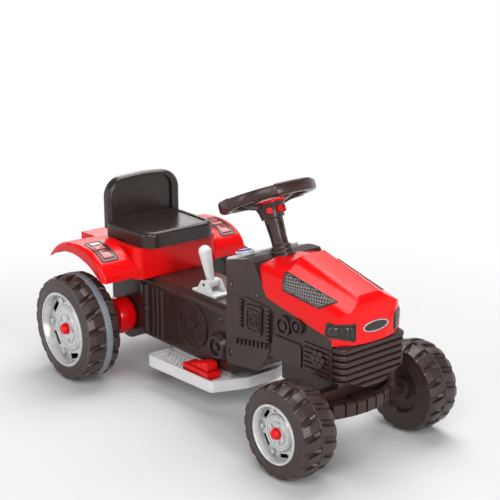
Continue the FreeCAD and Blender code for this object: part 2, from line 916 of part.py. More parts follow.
def hull_shell():
    points = [
        (HULL_REAR, "hull_top_z"),
        (HULL_REAR, "rear_tyre_radius"),
        (f"{HULL_REAR} + hull_rear_behind * {HULL_SLOPE_SHARE}", "hull_bottom_z"),
        (HULL_FRONT, "hull_bottom_z"),
        (HULL_FRONT, "hull_top_z"),
    ]
    block = prism("hull_block", "XZ", points, "-hull_half_width", "hull_half_width")
    side = -size("hull_half_width")
    soft = rounded("hull_soft", block, "hull_top_round",
                   lambda edge: runs_along_x(edge, side) and edge.BoundBox.ZMin > size("hull_top_z") - NEAR)
    softer = rounded("hull_softer", soft, "hull_bottom_round",
                     lambda edge: runs_along_x(edge, side) and is_low(edge, "hull_bottom_z"))
    bulge = cylinder("hull_bulge", "y", REAR_X, "-hull_half_width", "rear_tyre_radius", "hull_bulge_radius",
                     "hull_half_width")
    ribs = hull_pillar()
    for index in range(int(size("rib_count"))):
        ribs.append(cylinder(f"hull_rib_{index}", "z", f"{REAR_X} + rib_ahead + rib_pitch * {index}",
                             "-hull_half_width", "hull_bottom_z + hull_bottom_round", "rib_width / 2",
                             "hull_top_z - hull_bottom_z - hull_top_round - hull_bottom_round"))
    outer = joined("hull_outer", [softer, bulge, gear_cover(), pulley()] + gear_spokes() + ribs)
    inside = hollow("hull_inside", block, "XZ", "hull_wall", "hull_half_width", "hull_top_round / 2")
    room = cylinder("hull_bulge_inside", "y", REAR_X, "-hull_half_width + hull_wall", "rear_tyre_radius",
                    "hull_bulge_radius - shell_wall", "hull_half_width")
    axle = cylinder("hull_axle_hole", "y", REAR_X, "-hull_half_width - overcut", "rear_tyre_radius",
                    "axle_radius + fit_gap", "hull_half_width")
    spots = [
        (f"{REAR_X} + rib_ahead + rib_pitch * rib_count", "hull_bottom_z + hull_bottom_round * 2"),
        (f"{REAR_X} + gear_disc_ahead - gear_disc_radius - rib_width * 2", "hull_top_z - hull_top_round * 2"),
        (f"{HULL_FRONT} - pulley_behind", "hull_top_z - hull_top_round * 3 / 2"),
    ]
    recesses, heads = screw_recesses("hull", spots, "hull_half_width")
    plain = cut("hull_plain", outer, [inside, room, axle])
    return plain, cut("hull_shell_right", plain, recesses), heads


hull_plain, hull_right, hull_heads = hull_shell()
node(hull_right, "hull_shell_right")
node(mirrored("hull_shell_left", hull_plain), "hull_shell_left")

# Column frame: heights run along the steering axis from the middle of the steering wheel's rim

COLUMN_TURN = Rotation(Vector(0, -1, 0), size("column_tilt"))
UPRIGHT = Rotation(Vector(1, 0, 0), 90)
LEAN = "sin(column_tilt * 1 deg)"
RISE = "cos(column_tilt * 1 deg)"
TIE_MIDDLE_Z = "(arm_top_z + tie_gap + tie_thickness / 2)"
BALL_DROP = f"((wheel_centre_z - {TIE_MIDDLE_Z} - crank_radius * {LEAN}) / {RISE})"
SHAFT_DROP = f"({BALL_DROP} - crank_drop)"
BALL_X = f"({WHEEL_CENTRE_X} + {BALL_DROP} * {LEAN} - crank_radius * {RISE})"


def on_column(item, height="0", turn=Rotation(), out="0", side="0"):
    """Set a piece on the steering axis, turned about it, with its origin out along its own X."""
    item.Placement = Placement(Vector(), COLUMN_TURN * turn)
    return place(item, f"{WHEEL_CENTRE_X} - ({height}) * {LEAN} + ({out}) * {RISE}", side,
                 f"wheel_centre_z + ({height}) * {RISE} + ({out}) * {LEAN}")


# Engine block and dash: two shells under the bonnet, drawn as shares of length and height

ENGINE_SHARES = (
    (0, 0), (0.33, 0.056), (0.39, 0.12), (0.435, 0.232), (1, 0.232), (1, 0.568),
    (0.4156, 0.72), (0.281, 0.968), (0.194, 0.976), (-0.0125, 0.904), (0, 0.5),
)
HOOD_SEAT_SHARES = ENGINE_SHARES[5:8]
DASH_SHARES = (ENGINE_SHARES[9], ENGINE_SHARES[8])
SIDE_PANEL_SHARES = ((0.485, 0.238), (0.742, 0.238), (0.742, 0.435), (0.48, 0.435))
DIALS = ((0.583, 0.544, "dial_radius"), (0.708, 0.58, "small_dial_radius"),
         (0.27, 0.472, "crank_dial_radius"))
DIAL_HUB_SHARE = 0.42
DIAL_RIM_SHARE = 0.76
FAN_SHARES = (0.9, 0.385)
LOUVRE_SHARES = (0.765, 0.985, 0.26, 0.5)
REAR_BLOCK_SHARES = (
    (0.015, 0.02), (0.32, 0.075), (0.385, 0.13), (0.445, 0.26), (0.452, 0.64), (0.2, 0.66), (0.015, 0.6),
)
CRANKCASE_SHARES = ((0.212, 0.35), (0.376, 0.37), (0.382, 0.63), (0.215, 0.6))
CRANKCASE_ROOM_SHARES = ((0.232, 0.377), (0.357, 0.393), (0.362, 0.6), (0.234, 0.575))
DASH_COLUMNS = ((0.177, 0.4, 0.62), (0.44, 0.36, 0.6))
DASH_ROW_SHARES = ((0.133, 0.25), (0.414, 0.31))
ENGINE_SCREW_SHARES = ((0.323, 0.708), (0.06, 0.72), (0.06, 0.12))


def engine_x(share):
    return f"({HULL_FRONT} + ({ENGINE_FRONT} - {HULL_FRONT}) * {share})"


def engine_z(share):
    return f"(engine_bottom_z + engine_rise * {share})"


def engine_points(shares):
    return [(engine_x(u), engine_z(v)) for u, v in shares]


def engine_length(share):
    return f"(({ENGINE_FRONT} - {HULL_FRONT}) * {share})"


def side_box(name, shares, proud):
    """A raised block on the right side of the engine between two shares of length and two of height."""
    left, right, low, high = shares
    return box(name, engine_x(left), f"-engine_half_width - {proud}", engine_z(low),
               engine_length(right - left),
               f"{proud} + shell_wall / 2", f"engine_rise * {high - low}")


def side_stub(name, share, length, height):
    """A small raised bar on the right side of the engine, centred on one point."""
    u, v = share
    return box(name, f"{engine_x(u)} - {length} / 2", "-engine_half_width - engine_relief",
               f"{engine_z(v)} - {height} / 2", length, "engine_relief + shell_wall / 2", height)


def side_dial(name, share, radius):
    """A raised round cover with a hub, a sunk ring and a rim."""
    hub, rim_foot = [f"{radius} * {part}" for part in (DIAL_HUB_SHARE, DIAL_RIM_SHARE)]
    sunk = "engine_relief * 2 / 3"
    foot = "engine_relief + shell_wall / 2"
    points = [("0", "0"), (hub, "0"), (hub, sunk), (rim_foot, sunk), (rim_foot, "0"), (radius, "0"),
              (radius, foot),
              ("0", foot)]
    u, v = share
    return place(turned(name, points), engine_x(u), "-engine_half_width - engine_relief", engine_z(v))


def side_plate(name, shares, proud):
    corners = {index: "plate_round" for index in range(len(shares))}
    points, bends = softened(engine_points(shares), corners)
    return prism(name, "XZ", points, f"-engine_half_width - {proud}", f"{proud} + shell_wall / 2", bends)


def fan():
    """A fan of round blades about a hub, over the louvres."""
    u, v = FAN_SHARES
    start = "-engine_half_width - engine_relief"
    depth = "engine_relief + shell_wall / 2"
    count = int(size("fan_blade_count"))
    blades = [cylinder("fan_hub", "y", engine_x(u), start, engine_z(v), "fan_blade_radius", depth)]
    for index in range(count):
        turn = 2 * math.pi * index / count
        x = f"{engine_x(u)} + fan_radius * {math.cos(turn)}"
        z = f"{engine_z(v)} + fan_radius * {math.sin(turn)}"
        blades.append(cylinder(f"fan_blade_{index}", "y", x, start, z, "fan_blade_radius", depth))
    return blades


def stub_rows():
    """Two upright rows of short bars and one slanting row of studs."""
    items = []
    count = int(size("stub_count"))
    for column, (u, low, high) in enumerate(DASH_COLUMNS):
        for index in range(count):
            v = low + (high - low) * index / (count - 1)
            items.append(side_stub(f"engine_bar_{column}_{index}", (u, v), "stub_length", "stub_height"))
    (first_u, first_v), (last_u, last_v) = DASH_ROW_SHARES
    for index in range(count):
        part = index / (count - 1)
        share = (first_u + (last_u - first_u) * part, first_v + (last_v - first_v) * part)
        items.append(side_stub(f"engine_stud_{index}", share, "stub_height", "stub_length"))
    return items


def engine_reliefs():
    """What is moulded on the side of the engine block."""
    frame = cut("engine_crankcase", side_plate("engine_crankcase_plate", CRANKCASE_SHARES, "engine_relief"),
                [side_plate("engine_crankcase_room", CRANKCASE_ROOM_SHARES, "engine_relief + overcut")])
    items = [side_plate("engine_panel", SIDE_PANEL_SHARES, "engine_relief / 2"),
             side_plate("engine_rear_block", REAR_BLOCK_SHARES, "engine_relief / 3"), frame]
    for index, (u, v, radius) in enumerate(DIALS):
        items.append(side_dial(f"engine_dial_{index}", (u, v), radius))
    left, right, low, high = LOUVRE_SHARES
    count = int(size("louvre_count"))
    pitch = (high - low) / count
    for index in range(count):
        foot = low + pitch * index
        items.append(side_box(f"engine_louvre_{index}", (left, right, foot, foot + pitch / 2),
                              "engine_relief / 2"))
    return items + fan() + stub_rows()


def boot_hole(owner):
    hole = cylinder(f"{owner}_boot_hole", "z", "0", "0", "0", "boot_radius + fit_gap", "boot_length * 2")
    return on_column(hole, "-boot_drop - boot_length")


def engine_shell():
    block = prism("engine_block", "XZ", engine_points(ENGINE_SHARES), "-engine_half_width",
                  "engine_half_width")
    doc.recompute()
    side = -size("engine_half_width")
    dash_front = size(engine_x(DASH_SHARES[1][0]))
    low = size(engine_z(0))

    def is_dash_edge(edge):
        box_of = edge.BoundBox
        in_side = abs(box_of.YMin - side) < NEAR and abs(box_of.YMax - side) < NEAR
        return in_side and box_of.XMax < dash_front + NEAR and box_of.ZMax > low + NEAR

    soft = rounded("engine_soft", block, "engine_edge_round", is_dash_edge)
    outer = joined("engine_outer", [soft] + engine_reliefs())
    inside = hollow("engine_inside", block, "XZ", "shell_wall", "engine_half_width")
    shaft = cylinder("bush_hole", "z", "0", "0", "0", "bush_radius + fit_gap", "bush_length * 3")
    on_column(shaft, "-bush_drop - bush_length * 2")
    plain = cut("engine_plain", outer, [inside, boot_hole("engine"), shaft])
    recesses, heads = screw_recesses("engine", engine_points(ENGINE_SCREW_SHARES), "engine_half_width")
    return plain, cut("engine_shell_right", plain, recesses), heads


engine_plain, engine_right, engine_heads = engine_shell()
node(engine_right, "engine_shell_right")
node(mirrored("engine_shell_left", engine_plain), "engine_shell_left")
node(group("shell_screws", hull_heads + engine_heads), "shell_screws")

# Bonnet: sections across it lofted from the dash to the nose, then trimmed from the side and from above

HOOD_STATION_SHARES = (
    (-0.05, ((0.33, 0.18), (0.47, 0.195), (0.86, 0.21), (1, 0.46), (1, 1))),
    (0.2, ((0.33, 0.145), (0.47, 0.16), (0.86, 0.235), (1, 0.51), (1, 1))),
    (0.3, ((0.33, 0.035), (0.47, 0.115), (0.86, 0.26), (1, 0.56), (1, 1))),
    (1, ((0.3, 0.385), (0.44, 0.435), (0.8, 0.54), (0.98, 0.76), (0.98, 1))),
)
NOSE_SHARES = ((1, 0.52), (0.966, 0.865))
NOSE_TOP_SHARE = 1.2
NOSE_CORNER_SHARES = ((0.91, 0.99), (0.978, 0.66), (1, 0.25))
HEADLAMP_SHARES = ((0.54, 0.55), (0.54, 0.69), (1.1, 0.69), (1.1, 0.6))
HEADLAMP_REAR_SHARE = 0.86
VENT_SHARES = ((0.52, 0.948), (0.55, 0.82), (0.855, 0.768), (0.94, 0.83))


def hood_section(name, x_share, half_points, wall):
    left = []
    right = []
    for w, drop in half_points:
        y = f"(hood_half_width * {w} - {wall})"
        z = f"(hood_top_z - hood_height * {drop} - {wall})"
        left.append((f"-{y}", z))
        right.append((y, z))
    points = left[::-1] + right
    last = len(points) - 1
    rounds = ("hood_shoulder_round", "hood_shoulder_round", "hood_crest_round", "hood_crest_round")
    corners = {}
    for index, length in enumerate(rounds, start=1):
        corners[index] = length
        corners[last - index] = length
    points, bends = softened(points, corners)
    level = f"{HOOD_REAR} + ({NOSE_X} - {HOOD_REAR}) * {x_share}"
    return outline(name, "YZ", points, bends, level)


def nose_x(share, wall):
    return f"({HULL_FRONT} + ({NOSE_X} - {HULL_FRONT}) * {share} - {wall})"


def hood_solid(name, wall, seat_drop):
    """The bonnet's outer form, or its inside when a wall is given."""
    loft = doc.addObject("Part::Loft", f"{name}_loft")
    loft.Sections = [hood_section(f"{name}_section_{index}", x, half, wall)
                     for index, (x, half) in enumerate(HOOD_STATION_SHARES)]
    loft.Solid = True
    loft.Ruled = True
    seat = [(x, f"{z} + hood_seat_gap - {seat_drop}") for x, z in engine_points(HOOD_SEAT_SHARES)]
    rear = f"{HOOD_REAR} - hood_seat_gap - {seat_drop}"
    (low_u, low_v), (high_u, high_v) = NOSE_SHARES
    low = f"{engine_z(low_v)} - {seat_drop}"
    nose = [(seat[0][0], low), (nose_x(low_u, wall), low),
            (nose_x(high_u, wall), f"{engine_z(high_v)} - {wall}")]
    top = engine_z(NOSE_TOP_SHARE)
    points, bends = softened(seat[::-1] + nose + [(rear, top), (rear, seat[-1][1])],
                             {len(seat) + len(nose) - 1: "hood_nose_round"})
    side = prism(f"{name}_side", "XZ", points, "-hood_plan_width", "hood_plan_width * 2", bends)
    right = [(nose_x(0, wall), "-hood_plan_width"),
             (nose_x(NOSE_CORNER_SHARES[0][0], wall), "-hood_plan_width")]
    right += [(nose_x(u, wall), f"-(hood_half_width * {w} - {wall})") for u, w in NOSE_CORNER_SHARES]
    left = [(x, f"-({y})") for x, y in right]
    points = right + left[::-1]
    last = len(points) - 1
    corners = {}
    for index in range(2, len(right)):
        corners[index] = "hood_corner_round"
        corners[last - index] = "hood_corner_round"
    points, bends = softened(points, corners)
    plan = prism(f"{name}_plan", "XY", points, "hull_top_z", "hood_top_z", bends)
    return shared(name, [loft, side, plan])


def side_sign(side):
    return "-" if side == "right" else ""


def bonnet():
    outer = hood_solid("hood_outer", "0", "0")
    inner = hood_solid("hood_inner", "shell_wall", "overcut")
    shell = cut("hood_shell", outer, [inner])
    rooms = {}
    lamp_rear = f"{HULL_FRONT} + ({NOSE_X} - {HULL_FRONT}) * {HEADLAMP_REAR_SHARE}"
    for side in ("right", "left"):
        lamp_points = [(f"{side_sign(side)}hood_half_width * {w}", engine_z(v)) for w, v in HEADLAMP_SHARES]
        rooms[f"headlamp_{side}"] = prism(f"headlamp_room_{side}", "YZ", lamp_points, lamp_rear,
                                          f"{NOSE_X} - ({lamp_rear}) + overcut")
        vent_start = "-hood_half_width - overcut" if side == "right" else "hood_half_width - overcut"
        rooms[f"hood_vent_{side}"] = prism(f"vent_room_{side}", "XZ", engine_points(VENT_SHARES), vent_start,
                                           "overcut * 2")
    node(cut("hood", shell, list(rooms.values()) + [boot_hole("hood")]), "hood")
    for label, room in rooms.items():
        node(shared(label, [shell, room]), label)


bonnet()

# Radiator grille: rounded ribs stacked on a core

GRILLE_DIP_SHARE = 0.24
GRILLE_RIB_SHARE = 0.86
GRILLE_ROUND_SHARE = 0.3
GRILLE_POINT_SHARES = (0.78, 0.22)


def grille_prism(name, inset, foot, height):
    rear = f"{ENGINE_FRONT} + hood_seat_gap"
    front = f"({ENGINE_FRONT} + grille_depth - {inset})"
    half = f"(grille_half_width - {inset})"
    points, bends = softened([(rear, f"-{half}"), (front, f"-{half}"), (front, half), (rear, half)],
                             {1: "grille_corner", 2: "grille_corner"})
    return prism(name, "XY", points, foot, height, bends)


def grille():
    height = "(grille_top_z - grille_bottom_z)"
    core = grille_prism("grille_core", "grille_groove", "grille_bottom_z", height)
    ribs = []
    rear = size(f"{ENGINE_FRONT} + hood_seat_gap")
    pitch = f"({height} / grille_rib_count)"
    for index in range(int(size("grille_rib_count"))):
        foot = f"grille_bottom_z + {pitch} * {index}"
        rib = grille_prism(f"grille_rib_{index}", "0", foot, f"{pitch} * {GRILLE_RIB_SHARE}")
        ribs.append(rounded(f"grille_rib_soft_{index}", rib, f"{pitch} * {GRILLE_ROUND_SHARE}",
                            lambda edge: edge.BoundBox.ZLength < NEAR and edge.BoundBox.XMax > rear + NEAR))
    block = joined("grille_block", [core] + ribs)
    wide, narrow = [f"grille_half_width * {share}" for share in GRILLE_POINT_SHARES]
    low = f"grille_bottom_z + {height} * {GRILLE_DIP_SHARE}"
    top = "grille_top_z + overcut"
    half = "grille_half_width"
    front_points = [
        (f"-{half}", top), (f"-{half}", low), (f"-{wide}", low), (f"-{narrow}", "grille_bottom_z"),
        (narrow, "grille_bottom_z"), (wide, low), (half, low), (half, top),
    ]
    front = prism("grille_front", "YZ", front_points, ENGINE_FRONT, "grille_depth * 2")
    return shared("radiator_grille", [block, front])


node(grille(), "radiator_grille")

# Front axle beam with its carrier under the engine, and the weights in front of it

def front_beam():
    ends = []
    for side in ("right", "left"):
        y = f"{side_sign(side)}kingpin_y"
        ends.append(cylinder(f"beam_eye_{side}", "z", FRONT_X, y, "beam_bottom_z", "beam_half_depth",
                             "beam_height"))
    bar = box("beam_bar", f"{FRONT_X} - beam_half_depth * 3 / 4", "-kingpin_y", "beam_bottom_z",
              "beam_half_depth * 3 / 2", "kingpin_y * 2", "beam_height")
    carrier = box("beam_carrier", f"{FRONT_X} - carrier_back", "-carrier_half_width", "beam_bottom_z",
                  "carrier_length", "carrier_half_width * 2",
                  f"{engine_z(ENGINE_SHARES[3][1])} - beam_bottom_z")
    bores = []
    for side in ("right", "left"):
        bores.append(cylinder(f"beam_bore_{side}", "z", FRONT_X, f"{side_sign(side)}kingpin_y",
                              "beam_bottom_z - overcut", "kingpin_radius + running_gap",
                              "beam_height + overcut * 2"))
    cheeks = []
    rear, top = engine_x(ENGINE_SHARES[3][0]), engine_z(ENGINE_SHARES[3][1])
    foot = "(beam_bottom_z + beam_height / 4)"
    for index, y in enumerate(("-carrier_half_width", "carrier_half_width - cheek_thickness")):
        cheeks.append(box(f"beam_cheek_{index}", rear, y, foot, f"{FRONT_X} - carrier_back - {rear}",
                          "cheek_thickness", f"{top} - {foot}"))
    return cut("front_axle_beam", joined("beam_block", ends + [bar, carrier] + cheeks), bores)


def front_weights():
    rear = f"({FRONT_X} - carrier_back + carrier_length)"
    front = f"({NOSE_X} - weight_bow / 2)"
    half = "weight_half_width"
    points = [
        (f"{front} - weight_bow - weight_depth", f"-{half}"),
        (f"{front} - weight_bow", f"-{half}"),
        (f"{front} - weight_bow", half),
        (f"{front} - weight_bow - weight_depth", half),
    ]
    bends = {1: (front, "0"), 3: (f"{front} - weight_depth", "0")}
    block = prism("weight_bar", "XY", points, "weight_bottom_z", "weight_height", bends)
    bar = rounded("weight_bar_soft", block, "weight_round", lambda edge: edge.BoundBox.ZLength < NEAR)
    grooves = []
    pitch = "(weight_half_width * 2 / (weight_groove_count + 1))"
    for index in range(int(size("weight_groove_count"))):
        grooves.append(box(f"weight_groove_{index}", f"{front} - weight_bow - weight_depth / 3",
                           f"-{half} + {pitch} * {index + 1} - weight_groove / 2",
                           "weight_bottom_z - overcut",
                           "weight_depth * 2", "weight_groove", "weight_height + overcut * 2"))
    bitten = cut("weight_bitten", bar, grooves)
    hanger = box("weight_hanger", rear, "-carrier_half_width / 2", "beam_bottom_z",
                 f"{front} - weight_depth / 2 - {rear}", "carrier_half_width",
                 "weight_bottom_z + weight_height - beam_bottom_z")
    return joined("front_weights", [bitten, hanger])


node(front_beam(), "front_axle_beam")
node(front_weights(), "front_weights")

# Steering: knuckles, tie rod, shaft with crank, column and wheel

def knuckle():
    foot = "front_tyre_radius"
    top = "(beam_bottom_z + beam_height)"
    stub_end = "(front_track / 2 - axle_end_inset)"
    pin = cylinder("knuckle_pin", "z", FRONT_X, "-kingpin_y", foot, "kingpin_radius",
                   f"{top} + tie_gap + kingpin_head - {foot}")
    head = cylinder("knuckle_head", "z", FRONT_X, "-kingpin_y", f"{top} + tie_gap", "kingpin_head_radius",
                    "kingpin_head")
    collar = cylinder("knuckle_collar", "z", FRONT_X, "-kingpin_y", foot, "kingpin_head_radius",
                      f"beam_bottom_z - tie_gap - {foot}")
    elbow = doc.addObject("Part::Sphere", "knuckle_elbow")
    bind(elbow, "Radius", "kingpin_head_radius")
    place(elbow, FRONT_X, "-kingpin_y", foot)
    stub = cylinder("knuckle_stub", "y", FRONT_X, f"-{stub_end}", foot, "axle_radius",
                    f"{stub_end} - kingpin_y")
    stop = cylinder("knuckle_stop", "y", FRONT_X, "-front_track / 2 + front_tyre_width + fit_gap", foot,
                    "kingpin_head_radius", "front_track / 2 - front_tyre_width - fit_gap - kingpin_y")
    arm = box("knuckle_arm", f"{FRONT_X} - arm_length", "-kingpin_y - arm_width / 2",
              "arm_top_z - arm_thickness",
              "arm_length", "arm_width", "arm_thickness")
    eye = cylinder("knuckle_eye", "z", f"{FRONT_X} - arm_length", "-kingpin_y", "arm_top_z - arm_thickness",
                   "arm_width / 2", "arm_thickness")
    bore = cylinder("knuckle_bore", "z", f"{FRONT_X} - arm_length", "-kingpin_y", "arm_top_z - overcut",
                    "tie_pin_radius + running_gap", "overcut * 2")
    solid = joined("knuckle_solid", [pin, head, collar, elbow, stub, stop, arm, eye])
    return group("knuckle_right", [cut("knuckle_bored", solid, [bore]), nut("front")])


def tie_rod():
    level = "(arm_top_z + tie_gap)"
    x = f"({FRONT_X} - arm_length)"
    bar = box("tie_bar", f"{x} - tie_width / 2", "-kingpin_y", level, "tie_width", "kingpin_y * 2",
              "tie_thickness")
    pieces = [bar]
    for side in ("right", "left"):
        y = f"{side_sign(side)}kingpin_y"
        pieces.append(cylinder(f"tie_eye_{side}", "z", x, y, level, "tie_width / 2", "tie_thickness"))
        pieces.append(cylinder(f"tie_pin_{side}", "z", x, y, "arm_top_z - arm_thickness - tie_gap * 2",
                               "tie_pin_radius", f"{level} - arm_top_z + arm_thickness + tie_gap * 3"))
    tongue_rear = f"({BALL_X} - slot_length / 2 - tie_width / 2)"
    pieces.append(box("tie_tongue", tongue_rear, "-tongue_width / 2", level, f"{x} - {tongue_rear}",
                      "tongue_width",
                      "tie_thickness"))
    half = "(crank_ball_radius + slot_side_gap)"
    near = f"({BALL_X} - slot_length / 2 + {half} + tie_gap * 5)"
    far = f"({BALL_X} + slot_length / 2 - {half} + tie_gap * 5)"
    points = [(near, f"-{half}"), (far, f"-{half}"), (far, half), (near, half)]
    bends = {1: (f"{far} + {half}", "0"), 3: (f"{near} - {half}", "0")}
    slot = prism("tie_slot", "XY", points, f"{level} - overcut", "overcut * 2", bends)
    return cut("tie_rod", joined("tie_solid", pieces), [slot])


def steering_shaft():
    rod = on_column(cylinder("shaft_rod", "z", "0", "0", "0", "shaft_radius",
                             f"{SHAFT_DROP} - shaft_top_drop"),
                    f"-{SHAFT_DROP}")
    web = cylinder("shaft_web", "z", "0", "0", "0", "crank_web_radius", "crank_radius")
    on_column(web, f"-{SHAFT_DROP}", Rotation(Vector(0, -1, 0), 90))
    knob = doc.addObject("Part::Sphere", "shaft_corner")
    bind(knob, "Radius", "shaft_radius")
    on_column(knob, f"-{SHAFT_DROP}")
    corner = doc.addObject("Part::Sphere", "crank_corner")
    bind(corner, "Radius", "crank_web_radius")
    on_column(corner, f"-{SHAFT_DROP}", out="-crank_radius")
    pin = on_column(cylinder("crank_pin", "z", "0", "0", "0", "crank_pin_radius", "crank_drop"),
                    f"-{BALL_DROP}", out="-crank_radius")
    ball = doc.addObject("Part::Sphere", "crank_ball")
    bind(ball, "Radius", "crank_ball_radius")
    on_column(ball, f"-{BALL_DROP}", out="-crank_radius")
    return joined("steering_shaft", [rod, web, knob, corner, pin, ball])


def steering_bushes():
    upper = turned("bush_upper", [
        ("shaft_radius + running_gap", "0"), ("column_base_radius - column_wall - fit_gap", "0"),
        ("column_base_radius - column_wall - fit_gap", "bush_length"),
        ("shaft_radius + running_gap", "bush_length"),
    ])
    on_column(upper, "-column_top_drop - bush_length - fit_gap", UPRIGHT)
    lower = turned("bush_lower", [
        ("shaft_radius + running_gap", "0"), ("bush_radius", "0"), ("bush_radius", "bush_length"),
        ("shaft_radius + running_gap", "bush_length"),
    ])
    on_column(lower, "-bush_drop - bush_length", UPRIGHT)
    return group("steering_bushes", [upper, lower])


BOOT_RING_SHARE = 0.7


def column_cover():
    points = [
        ("column_base_radius - column_wall", "0"),
        ("column_base_radius", "0"),
        ("column_base_radius", "column_length / 2"),
        ("column_top_radius", "column_length"),
        ("column_base_radius - column_wall", "column_length"),
    ]
    tube = on_column(turned("column_tube", points), "-column_top_drop - column_length", UPRIGHT)
    low = "-column_top_drop - column_length + flute_end"
    high = "-column_top_drop - flute_end"
    inner = "column_base_radius - flute_depth"
    flute_points = [(inner, low), ("column_top_radius + overcut", low), ("column_top_radius + overcut", high),
                    (inner, high)]
    flutes = []
    count = int(size("flute_count"))
    for index in range(count):
        flute = prism(f"column_flute_{index}", "XZ", flute_points, "-flute_width / 2", "flute_width")
        flutes.append(on_column(flute, "0", Rotation(Vector(0, 0, 1), FULL_TURN * index / count)))
    return cut("column_cover", tube, flutes)


def column_boot():
    """A stack of rings, each smaller than the one below it, with a groove between them."""
    rings = int(size("boot_ring_count"))
    points = [("column_base_radius + fit_gap", "0")]
    for index in range(rings):
        radius = f"(boot_radius - boot_step * {index})"
        levels = (index, index + BOOT_RING_SHARE, index + 1)
        low, high, top = [f"boot_length * {level / rings}" for level in levels]
        points += [(radius, low), (radius, high), (f"{radius} - boot_step * 3 / 2", top)]
    points.append(("column_base_radius + fit_gap", "boot_length"))
    return on_column(turned("column_boot", points), "-boot_drop - boot_length / 2", UPRIGHT)


GRIP_ARC = 80
HUB_FOOT_SHARE = 0.9
HUB_COVER_SHARE = 0.7
SPOKE_ANGLES = (90, 180, 270)
GRIP_ANGLES = (90, 270)
BUTTON_ANGLES = (-45, 0, 45)


def steering_wheel():
    ring = doc.addObject("Part::Torus", "steering_ring")
    bind(ring, "Radius1", "steering_rim_radius")
    bind(ring, "Radius2", "steering_tube_radius")
    on_column(ring)
    pieces = [ring]
    for middle in GRIP_ANGLES:
        grip = doc.addObject("Part::Torus", f"steering_grip_{middle}")
        bind(grip, "Radius1", "steering_rim_radius")
        bind(grip, "Radius2", "grip_tube_radius")
        grip.Angle3 = GRIP_ARC
        pieces.append(on_column(grip, "0", Rotation(Vector(0, 0, 1), middle - GRIP_ARC / 2)))
    hub_points = [
        ("0", "-steering_dish - steering_hub_height"),
        (f"steering_hub_radius * {HUB_FOOT_SHARE}", "-steering_dish - steering_hub_height"),
        ("steering_hub_radius", "-steering_dish - steering_hub_height / 2"),
        ("hub_cover_radius", "-steering_dish"),
        ("0", "-steering_dish"),
    ]
    pieces.append(on_column(turned("steering_hub", hub_points), "0", UPRIGHT))
    spoke_points = [
        ("steering_hub_radius / 2", "-steering_dish - spoke_thickness"),
        ("steering_rim_radius", "-spoke_thickness / 2"),
        ("steering_rim_radius", "spoke_thickness / 2"),
        ("hub_cover_radius + fit_gap", "-steering_dish"),
        ("steering_hub_radius / 2", "-steering_dish"),
    ]
    for angle in SPOKE_ANGLES:
        spoke = prism(f"steering_spoke_{angle}", "XZ", spoke_points, "-spoke_width / 2", "spoke_width")
        pieces.append(on_column(spoke, "0", Rotation(Vector(0, 0, 1), angle)))
    tools = [on_column(cylinder("steering_shaft_room", "z", "0", "0", "0", "shaft_radius + fit_gap",
                                "steering_dish + steering_hub_height - shaft_top_drop + fit_gap"),
                       "-steering_dish - steering_hub_height")]
    for index, angle in enumerate(BUTTON_ANGLES):
        room = cylinder(f"button_room_{index}", "z", "0", "0", "0", "button_radius + fit_gap",
                        "hub_cover_radius")
        tools.append(button_place(room, angle, "button_seat - button_travel - fit_gap"))
    return cut("steering_wheel", joined("steering_solid", pieces), tools)


def button_place(item, angle, out):
    """Point a piece's Z axis outward from the hub at one angle about the column."""
    turn = Rotation(Vector(0, 0, 1), angle)
    item.Placement = Placement(Vector(), COLUMN_TURN * turn * Rotation(Vector(0, 1, 0), 90))
    along, across = math.cos(math.radians(angle)), math.sin(math.radians(angle))
    height = "(-steering_dish - button_drop)"
    return place(item, f"{WHEEL_CENTRE_X} - {height} * {LEAN} + ({out}) * {along} * {RISE}",
                 f"({out}) * {across}",
                 f"wheel_centre_z + {height} * {RISE} + ({out}) * {along} * {LEAN}")


def hub_cover():
    points = [
        ("0", "-steering_dish"),
        ("hub_cover_radius", "-steering_dish"),
        ("hub_cover_radius", "-steering_dish + hub_cover_height / 2"),
        (f"hub_cover_radius * {HUB_COVER_SHARE}", "-steering_dish + hub_cover_height"),
        ("0", "-steering_dish + hub_cover_height"),
    ]
    return on_column(turned("steering_hub_cover", points), "0", UPRIGHT)


node(knuckle(), "knuckle_right")
node(mirrored("knuckle_left", doc.getObject("knuckle_right")), "knuckle_left")
node(tie_rod(), "tie_rod")
node(steering_shaft(), "steering_shaft")
node(steering_bushes(), "steering_bushes")
node(column_cover(), "column_cover")
node(column_boot(), "column_boot")
node(steering_wheel(), "steering_wheel")
node(hub_cover(), "steering_hub_cover")
for index, angle in enumerate(BUTTON_ANGLES, start=1):
    button = cylinder(f"sound_button_{index}", "z", "0", "0", "0", "button_radius", "button_length")
    node(button_place(button, angle, "button_seat"), f"sound_button_{index}")

# Dash panel with its start button

DASH_PANEL_SHARES = (0.02, 0.5)
DASH_BUTTON_SHARE = 0.3
dash_low, dash_high = engine_points(DASH_SHARES)
DASH_SLOPE = math.atan2(size(dash_high[1]) - size(dash_low[1]), size(dash_high[0]) - size(dash_low[0]))
DASH_TURN = Rotation(Vector(0, -1, 0), math.degrees(DASH_SLOPE))


def on_dash(share, rise):
    """A point of the sloping dash, lifted square to it."""
    x = f"({dash_low[0]} + ({dash_high[0]} - {dash_low[0]}) * {share} - ({rise}) * {math.sin(DASH_SLOPE)})"
    z = f"({dash_low[1]} + ({dash_high[1]} - {dash_low[1]}) * {share} + ({rise}) * {math.cos(DASH_SLOPE)})"
    return x, z


def dash_piece(name, rise, radius, length):
    item = cylinder(name, "z", "0", "0", "0", radius, length)
    item.Placement = Placement(Vector(), DASH_TURN)
    x, z = on_dash(DASH_BUTTON_SHARE, rise)
    return place(item, x, "start_button_y", z)


